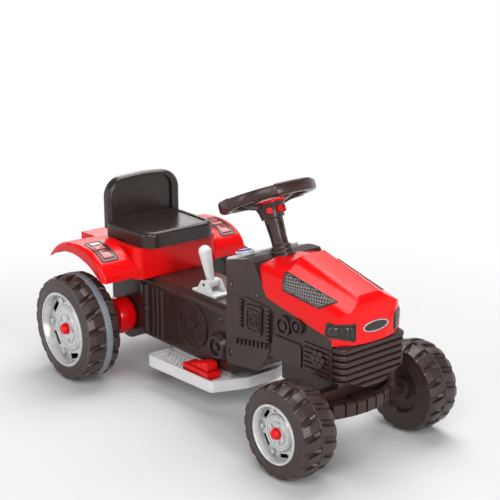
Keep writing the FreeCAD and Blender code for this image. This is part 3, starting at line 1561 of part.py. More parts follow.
def dash_panel():
    rear, front = DASH_PANEL_SHARES
    points = [on_dash(rear, "0"), on_dash(front, "0"), on_dash(front, "dash_panel_thickness"),
              on_dash(rear, "dash_panel_thickness")]
    plate = prism("dash_plate", "XZ", points, "-dash_panel_half_width", "dash_panel_half_width * 2")
    bezel = dash_piece("start_bezel", "dash_panel_thickness / 2", "start_bezel_radius",
                       "dash_panel_thickness / 2 + start_bezel_height")
    well = dash_piece("start_well", "dash_panel_thickness / 2", "start_button_radius + fit_gap", "overcut")
    return cut("dash_panel", joined("dash_solid", [plate, bezel]), [well])


def start_button():
    rise = "dash_panel_thickness / 2 + start_button_travel + fit_gap"
    base = dash_piece("start_barrel", rise, "start_button_radius", "start_button_height")
    top = size("start_button_height")
    return rounded("start_button", base, "start_button_radius / 5",
                   lambda edge: is_upper_rim(edge, base.Placement, top))


def is_upper_rim(edge, place_of, height):
    """True for the round edge at one height of a placed cylinder."""
    centre = place_of.inverse().multVec(edge.BoundBox.Center)
    return edge.Length > 2 * height and abs(centre.z - height) < NEAR


node(dash_panel(), "dash_panel")
node(start_button(), "start_button")

# Fender body: a seat platform with an arched fender on each side, open underneath

FENDER_TOP_SHARES = ((0, 0.35), (0.16, 0.79), (0.4, 0.985), (0.63, 1), (0.8, 0.85), (0.94, 0.5), (1, 0))
FENDER_LIP_SHARES = ((0.93, 0.06), (0.47, 0.67), (0.02, 0.25))
LAMP_SHARES = (0.54, 0.9)
LAMP_WIDTH_SHARES = (0.16, 0.58)


def fender_point(shares):
    along, up = shares
    front = "(rear_axle_x + fender_front_ahead)"
    return f"({front} - fender_length * {1 - along})", f"(fender_low_z + fender_rise * {up})"


def fender_arch(side):
    """One arched fender, as a shell open towards the wheel below it."""
    top = [fender_point(share) for share in FENDER_TOP_SHARES]
    lip = [fender_point(share) for share in FENDER_LIP_SHARES]
    points = [top[0], top[2], top[4], top[6], lip[0], lip[2]]
    bends = {0: top[1], 1: top[3], 2: top[5], 4: lip[1]}
    width = "(fender_outer_y - fender_inner_y)"
    block = prism(f"fender_block_{side}", "XZ", points, "-fender_outer_y", width, bends)
    outer_y = -size("fender_outer_y")
    soft = rounded(f"fender_soft_{side}", block, "fender_round", lambda edge: is_arch_edge(edge, outer_y))
    inner = moved_in(top, "shell_wall")
    floor = "fender_low_z - overcut"
    room_points = [inner[0], inner[2], inner[4], inner[6], (inner[6][0], floor), (inner[0][0], floor)]
    room = prism(f"fender_room_{side}", "XZ", room_points, "-fender_outer_y + shell_wall", width,
                 {0: inner[1], 1: inner[3], 2: inner[5]})
    return cut(f"fender_arch_{side}", soft, [room])


def moved_in(points, wall):
    """The points of a curve that runs forward, each moved square to it towards its lower side."""
    spots = [Vector(size(u), size(v), 0) for u, v in points]
    last = len(spots) - 1
    moved = []
    for index, (u, v) in enumerate(points):
        along = spots[min(index + 1, last)] - spots[max(index - 1, 0)]
        along.normalize()
        moved.append((f"({u} + {wall} * {along.y})", f"({v} - {wall} * {along.x})"))
    return moved


def is_arch_edge(edge, outer_y):
    """True for the curved top edges of the fender's outer face."""
    box_of = edge.BoundBox
    in_face = abs(box_of.YMin - outer_y) < NEAR and abs(box_of.YMax - outer_y) < NEAR
    top = size(fender_point(FENDER_TOP_SHARES[2])[1])
    middle = edge.valueAt((edge.FirstParameter + edge.LastParameter) / 2)
    lip_top = size(fender_point(FENDER_LIP_SHARES[1])[1])
    curved = edge.Curve.TypeId == "Part::GeomCircle"
    return in_face and curved and not abs(middle.z - lip_top) < (top - lip_top) / 4


def platform():
    front = "(rear_axle_x + fender_front_ahead)"
    rear = "(rear_axle_x - platform_rear_behind)"
    corners = [(rear, "-platform_rear_half"), (front, "-platform_front_half"), (front, "platform_front_half"),
               (rear, "platform_rear_half")]
    points, bends = softened(corners, {1: "platform_round", 2: "platform_round"})
    block = prism("platform_block", "XY", points, "hull_top_z", "platform_top_z - hull_top_z", bends)
    inside = hollow("platform_inside", block, "XY", "-shell_wall", "platform_top_z - hull_top_z")
    return block, inside


def fender_body():
    block, inside = platform()
    right = fender_arch("right")
    left = mirrored("fender_arch_left", right)
    body = cut("fender_hollow", joined("fender_solid", [block, right, left]), [inside])
    rooms = {side: lamp_room(side) for side in ("right", "left")}
    node(cut("fender_body", body, list(rooms.values())), "fender_body")
    for side, room in rooms.items():
        node(shared(f"fender_lamp_{side}", [body, room]), f"fender_lamp_{side}")


def lamp_room(side):
    """The place of the lamp inlay, cut down through the skin of one fender."""
    rear, front = [fender_point((share, 0))[0] for share in LAMP_SHARES]
    width = "(fender_outer_y - fender_inner_y)"
    near, far = [f"(fender_outer_y - {width} * {share})" for share in LAMP_WIDTH_SHARES]
    y = f"-{near}" if side == "right" else far
    return box(f"lamp_room_{side}", rear, y, "fender_low_z + shell_wall", f"{front} - {rear}",
               f"{near} - {far}",
               "fender_rise + overcut")


fender_body()

# Seat: a hollow blown shell with a dished pad and a backrest

BACK_SHOULDER_SHARE = 0.92
BACK_ROUND_SHARE = 0.46
BACK_PANEL_SHARE = 0.76
BACK_PANEL_FOOT_SHARE = 0.18


def back_form(name, scale, foot, start, depth):
    """The backrest's outline with round shoulders and a low crown, as a slab."""
    half = f"(back_half_width * {scale})"
    rise = f"(back_height * {scale})"
    shoulder = f"{foot} + {rise} * {BACK_SHOULDER_SHARE}"
    points = [(f"-{half}", foot), (half, foot), (half, shoulder), (f"-{half}", shoulder)]
    slab = prism(name, "YZ", points, start, depth, {2: ("0", f"{foot} + {rise}")})
    level = size(shoulder)
    return rounded(f"{name}_round", slab, f"{half} * {BACK_ROUND_SHARE}",
                   lambda edge: edge.BoundBox.ZMin > level - NEAR and edge.BoundBox.ZLength < NEAR)


def seat():
    front = "(rear_axle_x + seat_front_ahead)"
    rear = "(rear_axle_x - seat_rear_behind)"
    points = [(rear, "-seat_rear_half"), (front, "-seat_front_half"), (front, "seat_front_half"),
              (rear, "seat_rear_half")]
    block = prism("seat_block", "XY", points, "platform_top_z", "seat_height")
    soft = rounded("seat_soft", block, "seat_round", lambda edge: edge.BoundBox.ZLength > NEAR)
    top = size("platform_top_z + seat_height")
    softer = rounded("seat_softer", soft, "seat_edge_round", lambda edge: edge.BoundBox.ZMin > top - NEAR)
    foot = "(platform_top_z + seat_height / 2)"
    back = back_form("seat_back", 1, foot, rear, "back_thickness")
    back_soft = rounded("seat_back_soft", back, "seat_edge_round", lambda edge: edge.BoundBox.XLength < NEAR
                        and edge.BoundBox.ZMax > top + NEAR)
    solid = joined("seat_solid", [softer, back_soft])
    dish_points = [
        (f"{rear} + back_thickness + seat_rim / 3", "-seat_rear_half + seat_rim"),
        (f"{front} - seat_rim", "-seat_front_half + seat_rim"),
        (f"{front} - seat_rim", "seat_front_half - seat_rim"),
        (f"{rear} + back_thickness + seat_rim / 3", "seat_rear_half - seat_rim"),
    ]
    soft_points, dish_bends = softened(dish_points, {index: "seat_rim" for index in range(len(dish_points))})
    dish = prism("seat_dish_room", "XY", soft_points, "platform_top_z + seat_height - seat_dish", "overcut",
                 dish_bends)
    panel_foot = f"({foot} + back_height * {BACK_PANEL_FOOT_SHARE})"
    panel = back_form("seat_panel_room", BACK_PANEL_SHARE, panel_foot,
                      f"{rear} + back_thickness - back_recess", "overcut")
    inside = hollow("seat_inside", block, "XY", "-shell_wall", "seat_height - seat_dish", "seat_round / 2")
    return cut("seat", solid, [dish, panel, inside])


node(seat(), "seat")

# Footboard under the hull, with a treaded wing on each side

TREAD_ANGLE = 50


def is_board_corner(edge):
    upright = edge.BoundBox.ZLength > NEAR
    return upright and abs(edge.BoundBox.YMin) > size("board_knee_half") + NEAR


def tread_bars(side):
    """Two crossing sets of slanting bars on one wing of the board."""
    count = int(size("board_tread_count"))
    pitch = f"(({PEDAL_REAR} - {BOARD_REAR} - board_tread_length) / board_tread_count)"
    outward = -1 if side == "right" else 1
    y = "-hull_half_width" if side == "right" else "hull_half_width"
    bars = []
    reach = f"board_tread_length * {math.cos(math.radians(TREAD_ANGLE))}"
    for lean, shift in ((TREAD_ANGLE, "0"), (FULL_TURN / 2 - TREAD_ANGLE, reach)):
        for index in range(count):
            bar = box(f"board_bar_{side}_{int(lean)}_{index}", "0", "0", "0", "board_tread_length",
                      "board_tread_width",
                      "board_tread_height + board_rim / 2")
            bar.Placement = Placement(Vector(), Rotation(Vector(0, 0, 1), outward * lean))
            x = f"{BOARD_REAR} + {pitch} * {index + 1} + {shift}"
            bars.append(place(bar, x, y, "board_top_z - board_rim / 2"))
    return bars


def footboard():
    front = f"({BOARD_REAR} + board_length)"
    corner = f"({BOARD_REAR} + board_length * {BOARD_CORNER_SHARE})"
    half = [(BOARD_REAR, "board_rear_half"), (corner, "board_front_half"), (front, "board_knee_half")]
    points = [(x, f"-{y}") for x, y in half] + half[::-1]
    block = prism("board_block", "XY", points, "board_bottom_z",
                  "board_top_z + board_rim_rise - board_bottom_z")
    soft = rounded("board_soft", block, "board_round", is_board_corner)
    tray = doc.addObject("Part::Offset2D", "board_tray_outline")
    tray.Source = block.Base
    tray.Join = "Intersection"
    bind(tray, "Value", "-board_rim")
    floor = extrusion("board_tray", tray, "XY", "overcut")
    bind(floor, "Placement.Base.z", "board_top_z - board_bottom_z")
    under = extrusion("board_under", tray, "XY", "board_top_z - board_bottom_z - board_rim")
    open_tray = cut("board_open", soft, [floor, under])
    neck = box("board_neck", f"{BOARD_REAR} + board_rim", "-board_neck_half", "board_top_z - board_rim",
               f"{corner} - {BOARD_REAR} - board_rim * 2", "board_neck_half * 2",
               "hull_bottom_z - board_top_z + board_rim")
    pieces = [open_tray, neck]
    for side in ("right", "left"):
        pieces += tread_bars(side)
    return joined("footboard", pieces)


node(footboard(), "footboard")

# Foot pedal on the right wing, hinged at its heel

TREADLE_SHARES = (
    (0.09, 0.3), (0.93, 0.42), (0.93, 1), (0.74, 1), (0.7, 0.87), (0.55, 0.84), (0.51, 0.72), (0.36, 0.69),
    (0.32, 0.58), (0.09, 0.52),
)
PEDAL_PIN_X = f"({PEDAL_REAR} + pedal_pin_inset)"
PEDAL_PIN_Z = "(board_top_z + pedal_pin_rise)"


def pedal_bore(name, gap):
    return cylinder(name, "y", PEDAL_PIN_X, "pedal_side_y - overcut", PEDAL_PIN_Z,
                    f"pedal_pin_radius + {gap}",
                    "pedal_width + overcut * 2")


def pedal_base():
    block = box("pedal_block", PEDAL_REAR, "pedal_side_y", "board_top_z", "pedal_length", "pedal_width",
                "pedal_base_height")
    room = box("pedal_room", f"{PEDAL_REAR} + pedal_wall", "pedal_side_y + pedal_wall",
               "board_top_z + pedal_wall / 2",
               "pedal_length - pedal_wall * 2", "pedal_width - pedal_wall * 2", "overcut")
    return cut("pedal_base", block, [room, pedal_bore("pedal_base_bore", "0")])


def pedal_treadle():
    inner = "(pedal_side_y + pedal_wall + fit_gap)"
    width = "(pedal_width - pedal_wall * 2 - fit_gap * 2)"
    rise = "(pedal_base_height + pedal_rise)"
    points = [(f"{PEDAL_REAR} + pedal_length * {u}", f"board_top_z + {rise} * {v}") for u,
              v in TREADLE_SHARES]
    wedge = prism("treadle_wedge", "XZ", points, inner, width)
    hinge = cylinder("treadle_hinge", "y", PEDAL_PIN_X, inner, PEDAL_PIN_Z, "pedal_pin_radius * 2", width)
    return cut("pedal_treadle", joined("treadle_solid", [wedge, hinge]),
               [pedal_bore("treadle_bore", "running_gap")])


node(pedal_base(), "pedal_base")
node(pedal_treadle(), "pedal_treadle")
node(cylinder("pedal_pin", "y", PEDAL_PIN_X, "pedal_side_y", PEDAL_PIN_Z, "pedal_pin_radius", "pedal_width"),
     "pedal_pin")

# Gear lever between the cheeks of its bracket on the hull

LEVER_PIVOT_Z = "(hull_top_z + lever_pivot_rise)"
LEVER_TOP_SHARE = 0.97


def lever_bracket():
    plate = box("lever_plate", f"{LEVER_X} - lever_base_length / 2", "lever_y - lever_base_width / 2",
                "hull_top_z",
                "lever_base_length", "lever_base_width", "lever_base_height")
    half = "(lever_cheek_length / 2)"
    points = [(f"{LEVER_X} - {half}", "hull_top_z"), (f"{LEVER_X} + {half}", "hull_top_z"),
              (f"{LEVER_X} + lever_hub_radius", "hull_top_z + lever_cheek_rise"),
              (f"{LEVER_X} - lever_hub_radius", "hull_top_z + lever_cheek_rise")]
    cheeks = []
    for index, y in enumerate(("lever_y - lever_base_width / 2",
                               "lever_y + lever_base_width / 2 - lever_cheek")):
        cheeks.append(prism(f"lever_cheek_{index}", "XZ", points, y, "lever_cheek"))
    bore = cylinder("lever_base_bore", "y", LEVER_X, "lever_y - lever_base_width", LEVER_PIVOT_Z,
                    "lever_pin_radius", "lever_base_width * 2")
    return cut("lever_bracket", joined("lever_base_solid", [plate] + cheeks), [bore])


def gear_lever():
    inner_width = "(lever_base_width - lever_cheek * 2 - fit_gap * 2)"
    hub = cylinder("lever_hub", "y", LEVER_X, f"lever_y - {inner_width} / 2", LEVER_PIVOT_Z,
                   "lever_hub_radius", inner_width)
    stick = doc.addObject("Part::Cone", "lever_stick")
    bind(stick, "Radius1", "lever_neck_radius")
    bind(stick, "Radius2", f"lever_knob_radius * {LEVER_TOP_SHARE}")
    bind(stick, "Height", "lever_length")
    knob = doc.addObject("Part::Sphere", "lever_knob")
    bind(knob, "Radius", "lever_knob_radius")
    lean = size("lever_lean")
    stick.Placement = Placement(Vector(), Rotation(Vector(0, -1, 0), lean))
    place(stick, LEVER_X, "lever_y", LEVER_PIVOT_Z)
    place(knob, f"{LEVER_X} - lever_length * sin(lever_lean * 1 deg)", "lever_y",
          f"{LEVER_PIVOT_Z} + lever_length * cos(lever_lean * 1 deg)")
    bore = cylinder("lever_bore", "y", LEVER_X, "lever_y - lever_base_width", LEVER_PIVOT_Z,
                    "lever_pin_radius + running_gap", "lever_base_width * 2")
    return cut("gear_lever", joined("lever_solid", [hub, stick, knob]), [bore])


node(lever_bracket(), "lever_bracket")
node(gear_lever(), "gear_lever")
node(cylinder("lever_pin", "y", LEVER_X, "lever_y - lever_base_width / 2", LEVER_PIVOT_Z, "lever_pin_radius",
              "lever_base_width"), "lever_pin")

# Drive and battery inside the hull

def gearbox():
    y = "(-hull_half_width + hull_wall)"
    case = cylinder("gearbox_case", "y", REAR_X, y, "rear_tyre_radius", "gearbox_radius", "gearbox_width")
    bore = cylinder("gearbox_bore", "y", REAR_X, "-hull_half_width", "rear_tyre_radius",
                    "axle_radius + fit_gap",
                    "hull_half_width")
    seat_box = box("gearbox_seat", REAR_X, y, "rear_tyre_radius + motor_rise - motor_radius",
                   "gearbox_radius + shell_wall", "gearbox_width", "motor_radius * 2")
    return cut("gearbox", joined("gearbox_solid", [case, seat_box]), [bore])


node(gearbox(), "gearbox")
node(cylinder("motor", "x", f"{REAR_X} + gearbox_radius + shell_wall",
              "-hull_half_width + hull_wall + gearbox_width / 2", "rear_tyre_radius + motor_rise",
              "motor_radius", "motor_length"), "motor")
node(box("battery", f"{REAR_X} + battery_ahead", "-battery_width / 2", "hull_bottom_z + hull_top_round / 2",
         "battery_length",
         "battery_width", "battery_height"), "battery")

# Tow hitch on the back of the hull

def tow_hitch():
    end = f"({HULL_REAR} - hitch_length)"
    half = "(hitch_width / 2)"
    points = [(HULL_REAR, f"-{half}"), (HULL_REAR, half), (f"{end} + {half} / 2", f"{half} / 2"),
              (f"{end} + {half} / 2", f"-{half} / 2")]
    bends = {2: (end, "0")}
    plate = prism("hitch_plate", "XY", points, "hitch_z", "hitch_thickness", bends)
    pad_plate = box("hitch_pad", f"{HULL_REAR} - hitch_thickness", f"-{half}",
                    "hitch_z - hitch_pad_height / 2", "hitch_thickness",
                    "hitch_width", "hitch_pad_height + hitch_thickness")
    hole = cylinder("hitch_hole", "z", f"{end} + {half} / 2", "0", "hitch_z - overcut", "hitch_hole_radius",
                    "overcut * 2")
    return cut("tow_hitch", joined("hitch_solid", [plate, pad_plate]), [hole])


node(tow_hitch(), "tow_hitch")

# Build check and files

doc.recompute()
for item in doc.Objects:
    if "Invalid" in item.State or "Error" in item.State:
        raise RuntimeError(f"{item.Name} failed: {item.State}")
for item in NODES:
    if item.Shape.isNull() or not item.Shape.isValid():
        raise RuntimeError(f"{item.Label} has no valid shape")
os.makedirs("parts", exist_ok=True)
for item in NODES:
    item.Shape.exportStep(f"parts/{item.Label}.step")
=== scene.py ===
import json
import math

import bpy
from mathutils import Matrix, Vector
from mathutils.bvhtree import BVHTree


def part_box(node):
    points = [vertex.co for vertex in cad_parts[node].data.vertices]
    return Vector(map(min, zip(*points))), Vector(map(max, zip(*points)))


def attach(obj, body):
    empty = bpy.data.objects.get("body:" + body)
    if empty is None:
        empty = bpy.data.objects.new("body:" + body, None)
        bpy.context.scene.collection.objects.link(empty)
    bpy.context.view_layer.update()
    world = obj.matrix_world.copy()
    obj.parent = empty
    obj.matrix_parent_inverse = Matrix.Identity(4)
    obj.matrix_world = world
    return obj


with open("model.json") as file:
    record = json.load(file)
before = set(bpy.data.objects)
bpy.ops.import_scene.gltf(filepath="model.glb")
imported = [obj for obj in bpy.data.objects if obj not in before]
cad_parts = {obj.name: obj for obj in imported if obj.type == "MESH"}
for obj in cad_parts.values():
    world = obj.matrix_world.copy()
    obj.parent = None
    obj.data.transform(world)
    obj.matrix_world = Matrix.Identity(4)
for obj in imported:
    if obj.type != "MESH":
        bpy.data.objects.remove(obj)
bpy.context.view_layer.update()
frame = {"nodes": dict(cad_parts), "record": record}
NODES = frame["nodes"]
MM = 0.001

# Camera that matches the photograph

CAMERA_PLACE = Vector((1.85725, -1.5223, 1.0376))
CAMERA_AZIMUTH = math.radians(50.05)
CAMERA_ELEVATION = math.radians(16.29)
CAMERA_LENS = 83.29
SENSOR = 36


def make_camera():
    data = bpy.data.cameras.new("Camera")
    data.lens = CAMERA_LENS
    data.sensor_width = SENSOR
    camera = bpy.data.objects.new("Camera", data)
    bpy.context.scene.collection.objects.link(camera)
    level = math.cos(CAMERA_ELEVATION)
    sine, cosine = math.sin(CAMERA_AZIMUTH), math.cos(CAMERA_AZIMUTH)
    back = Vector((sine * level, -cosine * level, math.sin(CAMERA_ELEVATION)))
    right = Vector((cosine, sine, 0))
    turn = Matrix((right, back.cross(right), back)).transposed()
    camera.matrix_world = Matrix.Translation(CAMERA_PLACE) @ turn.to_4x4()
    bpy.context.scene.camera = camera


# Colours as they look on screen

SCREEN_TOP = 255
SRGB_KNEE = 0.04045
SRGB_SLOPE = 12.92
SRGB_OFFSET = 0.055
SRGB_POWER = 2.4


def linear(*channels):
    """A screen colour, red, green and blue of 0 to 255, as the linear colour that shaders use."""
    colour = []
    for share in [channel / SCREEN_TOP for channel in channels]:
        if share <= SRGB_KNEE:
            colour.append(share / SRGB_SLOPE)
        else:
            colour.append(((share + SRGB_OFFSET) / (1 + SRGB_OFFSET)) ** SRGB_POWER)
    return colour + [1]


RED = linear(230, 8, 12)
LENS_RED = linear(150, 16, 22)
BLACK_BROWN = linear(56, 37, 34)
SEAT_BLACK = linear(42, 30, 28)
TYRE_BLACK = linear(56, 41, 38)
TRIM_BLACK = linear(26, 22, 22)
WHEEL_GREY = linear(214, 214, 215)
BOARD_GREY = linear(226, 224, 225)
LEVER_GREY = linear(226, 226, 226)
BAND_GREY = linear(140, 148, 156)
STEEL = linear(122, 120, 121)
AXLE_BLACK = linear(52, 47, 46)
BLUE = linear(24, 56, 168)
SMOKE = linear(46, 35, 33)
SILVER = linear(196, 198, 202)
# The lattice's pale grey is partly a painted highlight on dark webs
LATTICE_TONE_AND_HIGHLIGHT = linear(146, 138, 136)
WHITE = linear(232, 232, 234)
PALE_RED = linear(204, 104, 98)
BUSH = linear(206, 202, 190)


# Materials

SOCKETS = {
    "base_color": "Base Color", "roughness": "Roughness", "metallic": "Metallic",
    "coat_weight": "Coat Weight", "coat_roughness": "Coat Roughness", "specular": "Specular IOR Level",
}
EDGE_SHARP = 0.75
EDGE_FLAT = 0.97
# Painted shade: ambient occlusion darkens the colour in creases and corners
CREASE_SAMPLES = 8
CREASE_DEEP = 0.25
CREASE_OPEN = 0.92
CREASE_PAINTED_SHADE = 0.45
CLOUD_SCALE = 9
SMEAR_SCALE = 34
SCUFF_SCALE = 120
GRAIN_SCALE = 1400
NOISE_DETAIL = 3
NOISE_LOW = 0.35
NOISE_HIGH = 0.65
EDGE_RADIUS = 1 * MM
EDGE_SAMPLES = 4
# Edges are paler partly from wear and partly as a painted highlight
WEAR_AND_HIGHLIGHT_PALENESS = 0.3
SMEAR_SPREAD = 0.15
COAT_ROUGHNESS = 0.06
GRAIN_DEPTH = 0.2 * MM
METAL_CLOUD_SCALE = 36
METAL_SMEAR_SCALE = 102
METAL_SMEAR_SPREAD = 0.2
METAL_STAIN = 0.8
METAL_GRAIN = 0.05
METAL_GRAIN_DEPTH = 0.1 * MM
KNURL_COUNT = 110
KNURL_SLANT = 700
KNURL_EDGES = (0.2, 0.9)
KNURL_GROOVE_PAINTED_SHADE = 0.5
KNURL_ROUGHNESS = 0.6
KNURL_STRENGTH = 0.7
KNURL_DEPTH = 1 * MM


class Nodes:
    """A node tree with short ways to add and join nodes."""

    def __init__(self, tree):
        self.tree = tree

    def add(self, kind, **settings):
        item = self.tree.nodes.new(kind)
        for key, value in settings.items():
            setattr(item, key, value)
        return item

    def join(self, source, target):
        self.tree.links.new(source, target)

    def maths(self, operation, first, second=None):
        item = self.add("ShaderNodeMath", operation=operation)
        for socket, value in zip(item.inputs, (first, second)):
            if value is None:
                continue
            if isinstance(value, (int, float)):
                socket.default_value = value
            else:
                self.join(value, socket)
        return item.outputs["Value"]

    def remap(self, value, low, high, to_low, to_high):
        item = self.add("ShaderNodeMapRange")
        self.join(value, item.inputs["Value"])
        for key, number in zip(("From Min", "From Max", "To Min", "To Max"), (low, high, to_low, to_high)):
            item.inputs[key].default_value = number
        return item.outputs["Result"]

    def backdrop_share(self):
        """One for the rays that show the backdrop, seen straight or in gloss and glass."""
        path = self.add("ShaderNodeLightPath")
        share = path.outputs["Is Camera Ray"]
        for name in ("Is Glossy Ray", "Is Transmission Ray"):
            share = self.maths("MAXIMUM", share, path.outputs[name])
        return share


class Shader(Nodes):
    """A material's nodes."""

    def __init__(self, name):
        self.material = bpy.data.materials.new(name)
        self.material.use_nodes = True
        super().__init__(self.material.node_tree)
        self.surface = self.tree.nodes["Principled BSDF"]

    def place(self):
        return self.add("ShaderNodeTexCoord").outputs["Object"]

    def noise(self, scale):
        item = self.add("ShaderNodeTexNoise")
        item.inputs["Scale"].default_value = scale
        item.inputs["Detail"].default_value = NOISE_DETAIL
        self.join(self.place(), item.inputs["Vector"])
        return item.outputs["Fac"]

    def noise_between(self, scale, low, high):
        """Noise that is spread from one value to another."""
        return self.remap(self.noise(scale), NOISE_LOW, NOISE_HIGH, low, high)

    def mix(self, share, first, second):
        item = self.add("ShaderNodeMix", data_type="RGBA")
        self.join(share, item.inputs["Factor"])
        colours = [socket for socket in item.inputs if socket.type == "RGBA"]
        for socket, value in zip(colours, (first, second)):
            if isinstance(value, list):
                socket.default_value = value
            else:
                self.join(value, socket)
        return next(socket for socket in item.outputs if socket.type == "RGBA")

    def colour(self, socket):
        self.join(socket, self.surface.inputs["Base Color"])

    def set(self, **values):
        for key, value in values.items():
            self.surface.inputs[SOCKETS[key]].default_value = value

    def smear(self, scale, roughness, spread):
        """A roughness that varies over the surface by a share of itself."""
        varied = self.noise_between(scale, roughness * (1 - spread), roughness * (1 + spread))
        self.join(varied, self.surface.inputs["Roughness"])

    def soft_edge(self, radius):
        """The normal of edges rounded by a radius."""
        item = self.add("ShaderNodeBevel", samples=EDGE_SAMPLES)
        item.inputs["Radius"].default_value = radius
        return item.outputs["Normal"]

    def edge_share(self, soft_normal):
        """One where the rounded normal leaves the face's own, as along an edge."""
        item = self.add("ShaderNodeVectorMath", operation="DOT_PRODUCT")
        self.join(soft_normal, item.inputs[0])
        self.join(self.add("ShaderNodeNewGeometry").outputs["Normal"], item.inputs[1])
        return self.remap(item.outputs["Value"], EDGE_SHARP, EDGE_FLAT, 1, 0)

    def painted_crease_shade_share(self, reach):
        """Painted shade: one deep in a crease, zero on open faces, found by ambient occlusion."""
        item = self.add("ShaderNodeAmbientOcclusion", samples=CREASE_SAMPLES)
        item.inputs["Distance"].default_value = reach
        return self.remap(item.outputs["AO"], CREASE_DEEP, CREASE_OPEN, 1, 0)

    def bump(self, height, strength, distance, normal=None):
        item = self.add("ShaderNodeBump")
        item.inputs["Strength"].default_value = strength
        item.inputs["Distance"].default_value = distance
        self.join(height, item.inputs["Height"])
        if normal is not None:
            self.join(normal, item.inputs["Normal"])
        self.join(item.outputs["Normal"], self.surface.inputs["Normal"])


def shade(colour, factor):
    return [min(channel * factor, 1) for channel in colour[:3]] + [1]


def plastic(name, colour, roughness, coat=0.0, specular=0.4, grain=0.06, tone=0.1, wear_and_highlight=0.3, metallic=0.0,
            painted_shade_reach=12 * MM):
    """Moulded plastic: clouded tone, smeared gloss, a fine grain, edges paler partly by wear and partly by
    painted highlight, and creases darker by painted shade.
    """
    shader = Shader(name)
    soft_normal = shader.soft_edge(EDGE_RADIUS)
    cloud = shader.noise_between(CLOUD_SCALE, 0, 1)
    clouded = shader.mix(cloud, shade(colour, 1 - tone), shade(colour, 1 + tone))
    # Paler edges: partly wear, partly a painted highlight along the edges
    scuff = shader.noise_between(SCUFF_SCALE, 0, wear_and_highlight)
    worn_and_highlit = shader.maths("MULTIPLY", shader.edge_share(soft_normal), scuff)
    pale = [channel + (1 - channel) * WEAR_AND_HIGHLIGHT_PALENESS for channel in colour[:3]] + [1]
    worn_and_highlit_colour = shader.mix(worn_and_highlit, clouded, pale)
    # Painted shade: the colour darkens in creases and corners, found by ambient occlusion
    shader.colour(shader.mix(shader.painted_crease_shade_share(painted_shade_reach), worn_and_highlit_colour, shade(colour, CREASE_PAINTED_SHADE)))
    shader.smear(SMEAR_SCALE, roughness, SMEAR_SPREAD)
    shader.set(coat_weight=coat, coat_roughness=COAT_ROUGHNESS, specular=specular, metallic=metallic)
    shader.bump(shader.noise(GRAIN_SCALE), grain, GRAIN_DEPTH, soft_normal)
    return shader.material


def metal(name, colour, roughness, metallic=1.0):
    """Plated or coated metal with stains and a fine grain."""
    shader = Shader(name)
    cloud = shader.noise_between(METAL_CLOUD_SCALE, 0, 1)
    shader.colour(shader.mix(cloud, shade(colour, METAL_STAIN), colour))
    shader.smear(METAL_SMEAR_SCALE, roughness, METAL_SMEAR_SPREAD)
    shader.set(metallic=metallic)
    shader.bump(shader.noise(GRAIN_SCALE), METAL_GRAIN, METAL_GRAIN_DEPTH, shader.soft_edge(EDGE_RADIUS / 2))
    return shader.material


def band_rubber(name, centre):
    """A soft band with a crossed knurl round its wheel, its grooves darkened by painted shade."""
    shader = Shader(name)
    split = shader.add("ShaderNodeSeparateXYZ")
    shader.join(shader.place(), split.inputs["Vector"])
    ahead = shader.maths("SUBTRACT", split.outputs["X"], centre.x)
    above = shader.maths("SUBTRACT", split.outputs["Z"], centre.z)
    turn = shader.maths("MULTIPLY", shader.maths("ARCTAN2", above, ahead), KNURL_COUNT)
    slant = shader.maths("MULTIPLY", split.outputs["Y"], KNURL_SLANT)
    waves = [shader.maths("SINE", shader.maths(operation, turn, slant)) for operation in ("ADD", "SUBTRACT")]
    knurl = shader.maths("MAXIMUM", *waves)
    ridge = shader.remap(knurl, *KNURL_EDGES, 0, 1)
    # Painted shade: the knurl's grooves are coloured darker
    shader.colour(shader.mix(ridge, shade(BAND_GREY, KNURL_GROOVE_PAINTED_SHADE), BAND_GREY))
    shader.set(roughness=KNURL_ROUGHNESS)
    shader.bump(ridge, KNURL_STRENGTH, KNURL_DEPTH)
    return shader.material


MATERIALS = {
    "red_gloss": plastic("red plastic", RED, roughness=0.22, coat=0.08, specular=0.24, grain=0.02, tone=0.04,
                         wear_and_highlight=0.2),
    "black_brown": plastic("black-brown plastic", BLACK_BROWN, roughness=0.3, coat=0.12, specular=0.3,
                           grain=0.05, tone=0.12, wear_and_highlight=0.6),
    "seat_black": plastic("seat plastic", SEAT_BLACK, roughness=0.3, coat=0.08, grain=0.03),
    "tyre_black": plastic("tyre plastic", TYRE_BLACK, roughness=0.36, coat=0.1, grain=0.08, tone=0.14, wear_and_highlight=0.5,
                          painted_shade_reach=20 * MM),
    "wheel_grey": plastic("wheel plastic", WHEEL_GREY, roughness=0.28, coat=0.2, grain=0.03, tone=0.04,
                          metallic=0.35, painted_shade_reach=24 * MM),
    "board_grey": plastic("board plastic", BOARD_GREY, roughness=0.42, tone=0.04),
    "lever_grey": plastic("lever plastic", LEVER_GREY, roughness=0.36, grain=0.05, tone=0.04),
    "lamp_smoke": plastic("lamp cover", SMOKE, roughness=0.14, coat=0.5, specular=0.3, grain=0.01, tone=0.2),
    "mesh_dark": plastic("vent ground", TRIM_BLACK, roughness=0.6, tone=0.15),
    "inlay": plastic("lamp inlay", SMOKE, roughness=0.25, coat=0.5, tone=0.15),
    "button_blue": plastic("button plastic", BLUE, roughness=0.25, coat=0.4, tone=0.06),
    "steel": metal("zinc steel", STEEL, roughness=0.34),
    "axle_black": metal("black coated steel", AXLE_BLACK, roughness=0.4, metallic=0.2),
    "bush": plastic("bush plastic", BUSH, roughness=0.5, tone=0.05),
    "drive_dark": plastic("drive plastic", TYRE_BLACK, roughness=0.5),
}
TRIM = plastic("black trim", TRIM_BLACK, roughness=0.35, coat=0.2, tone=0.15)
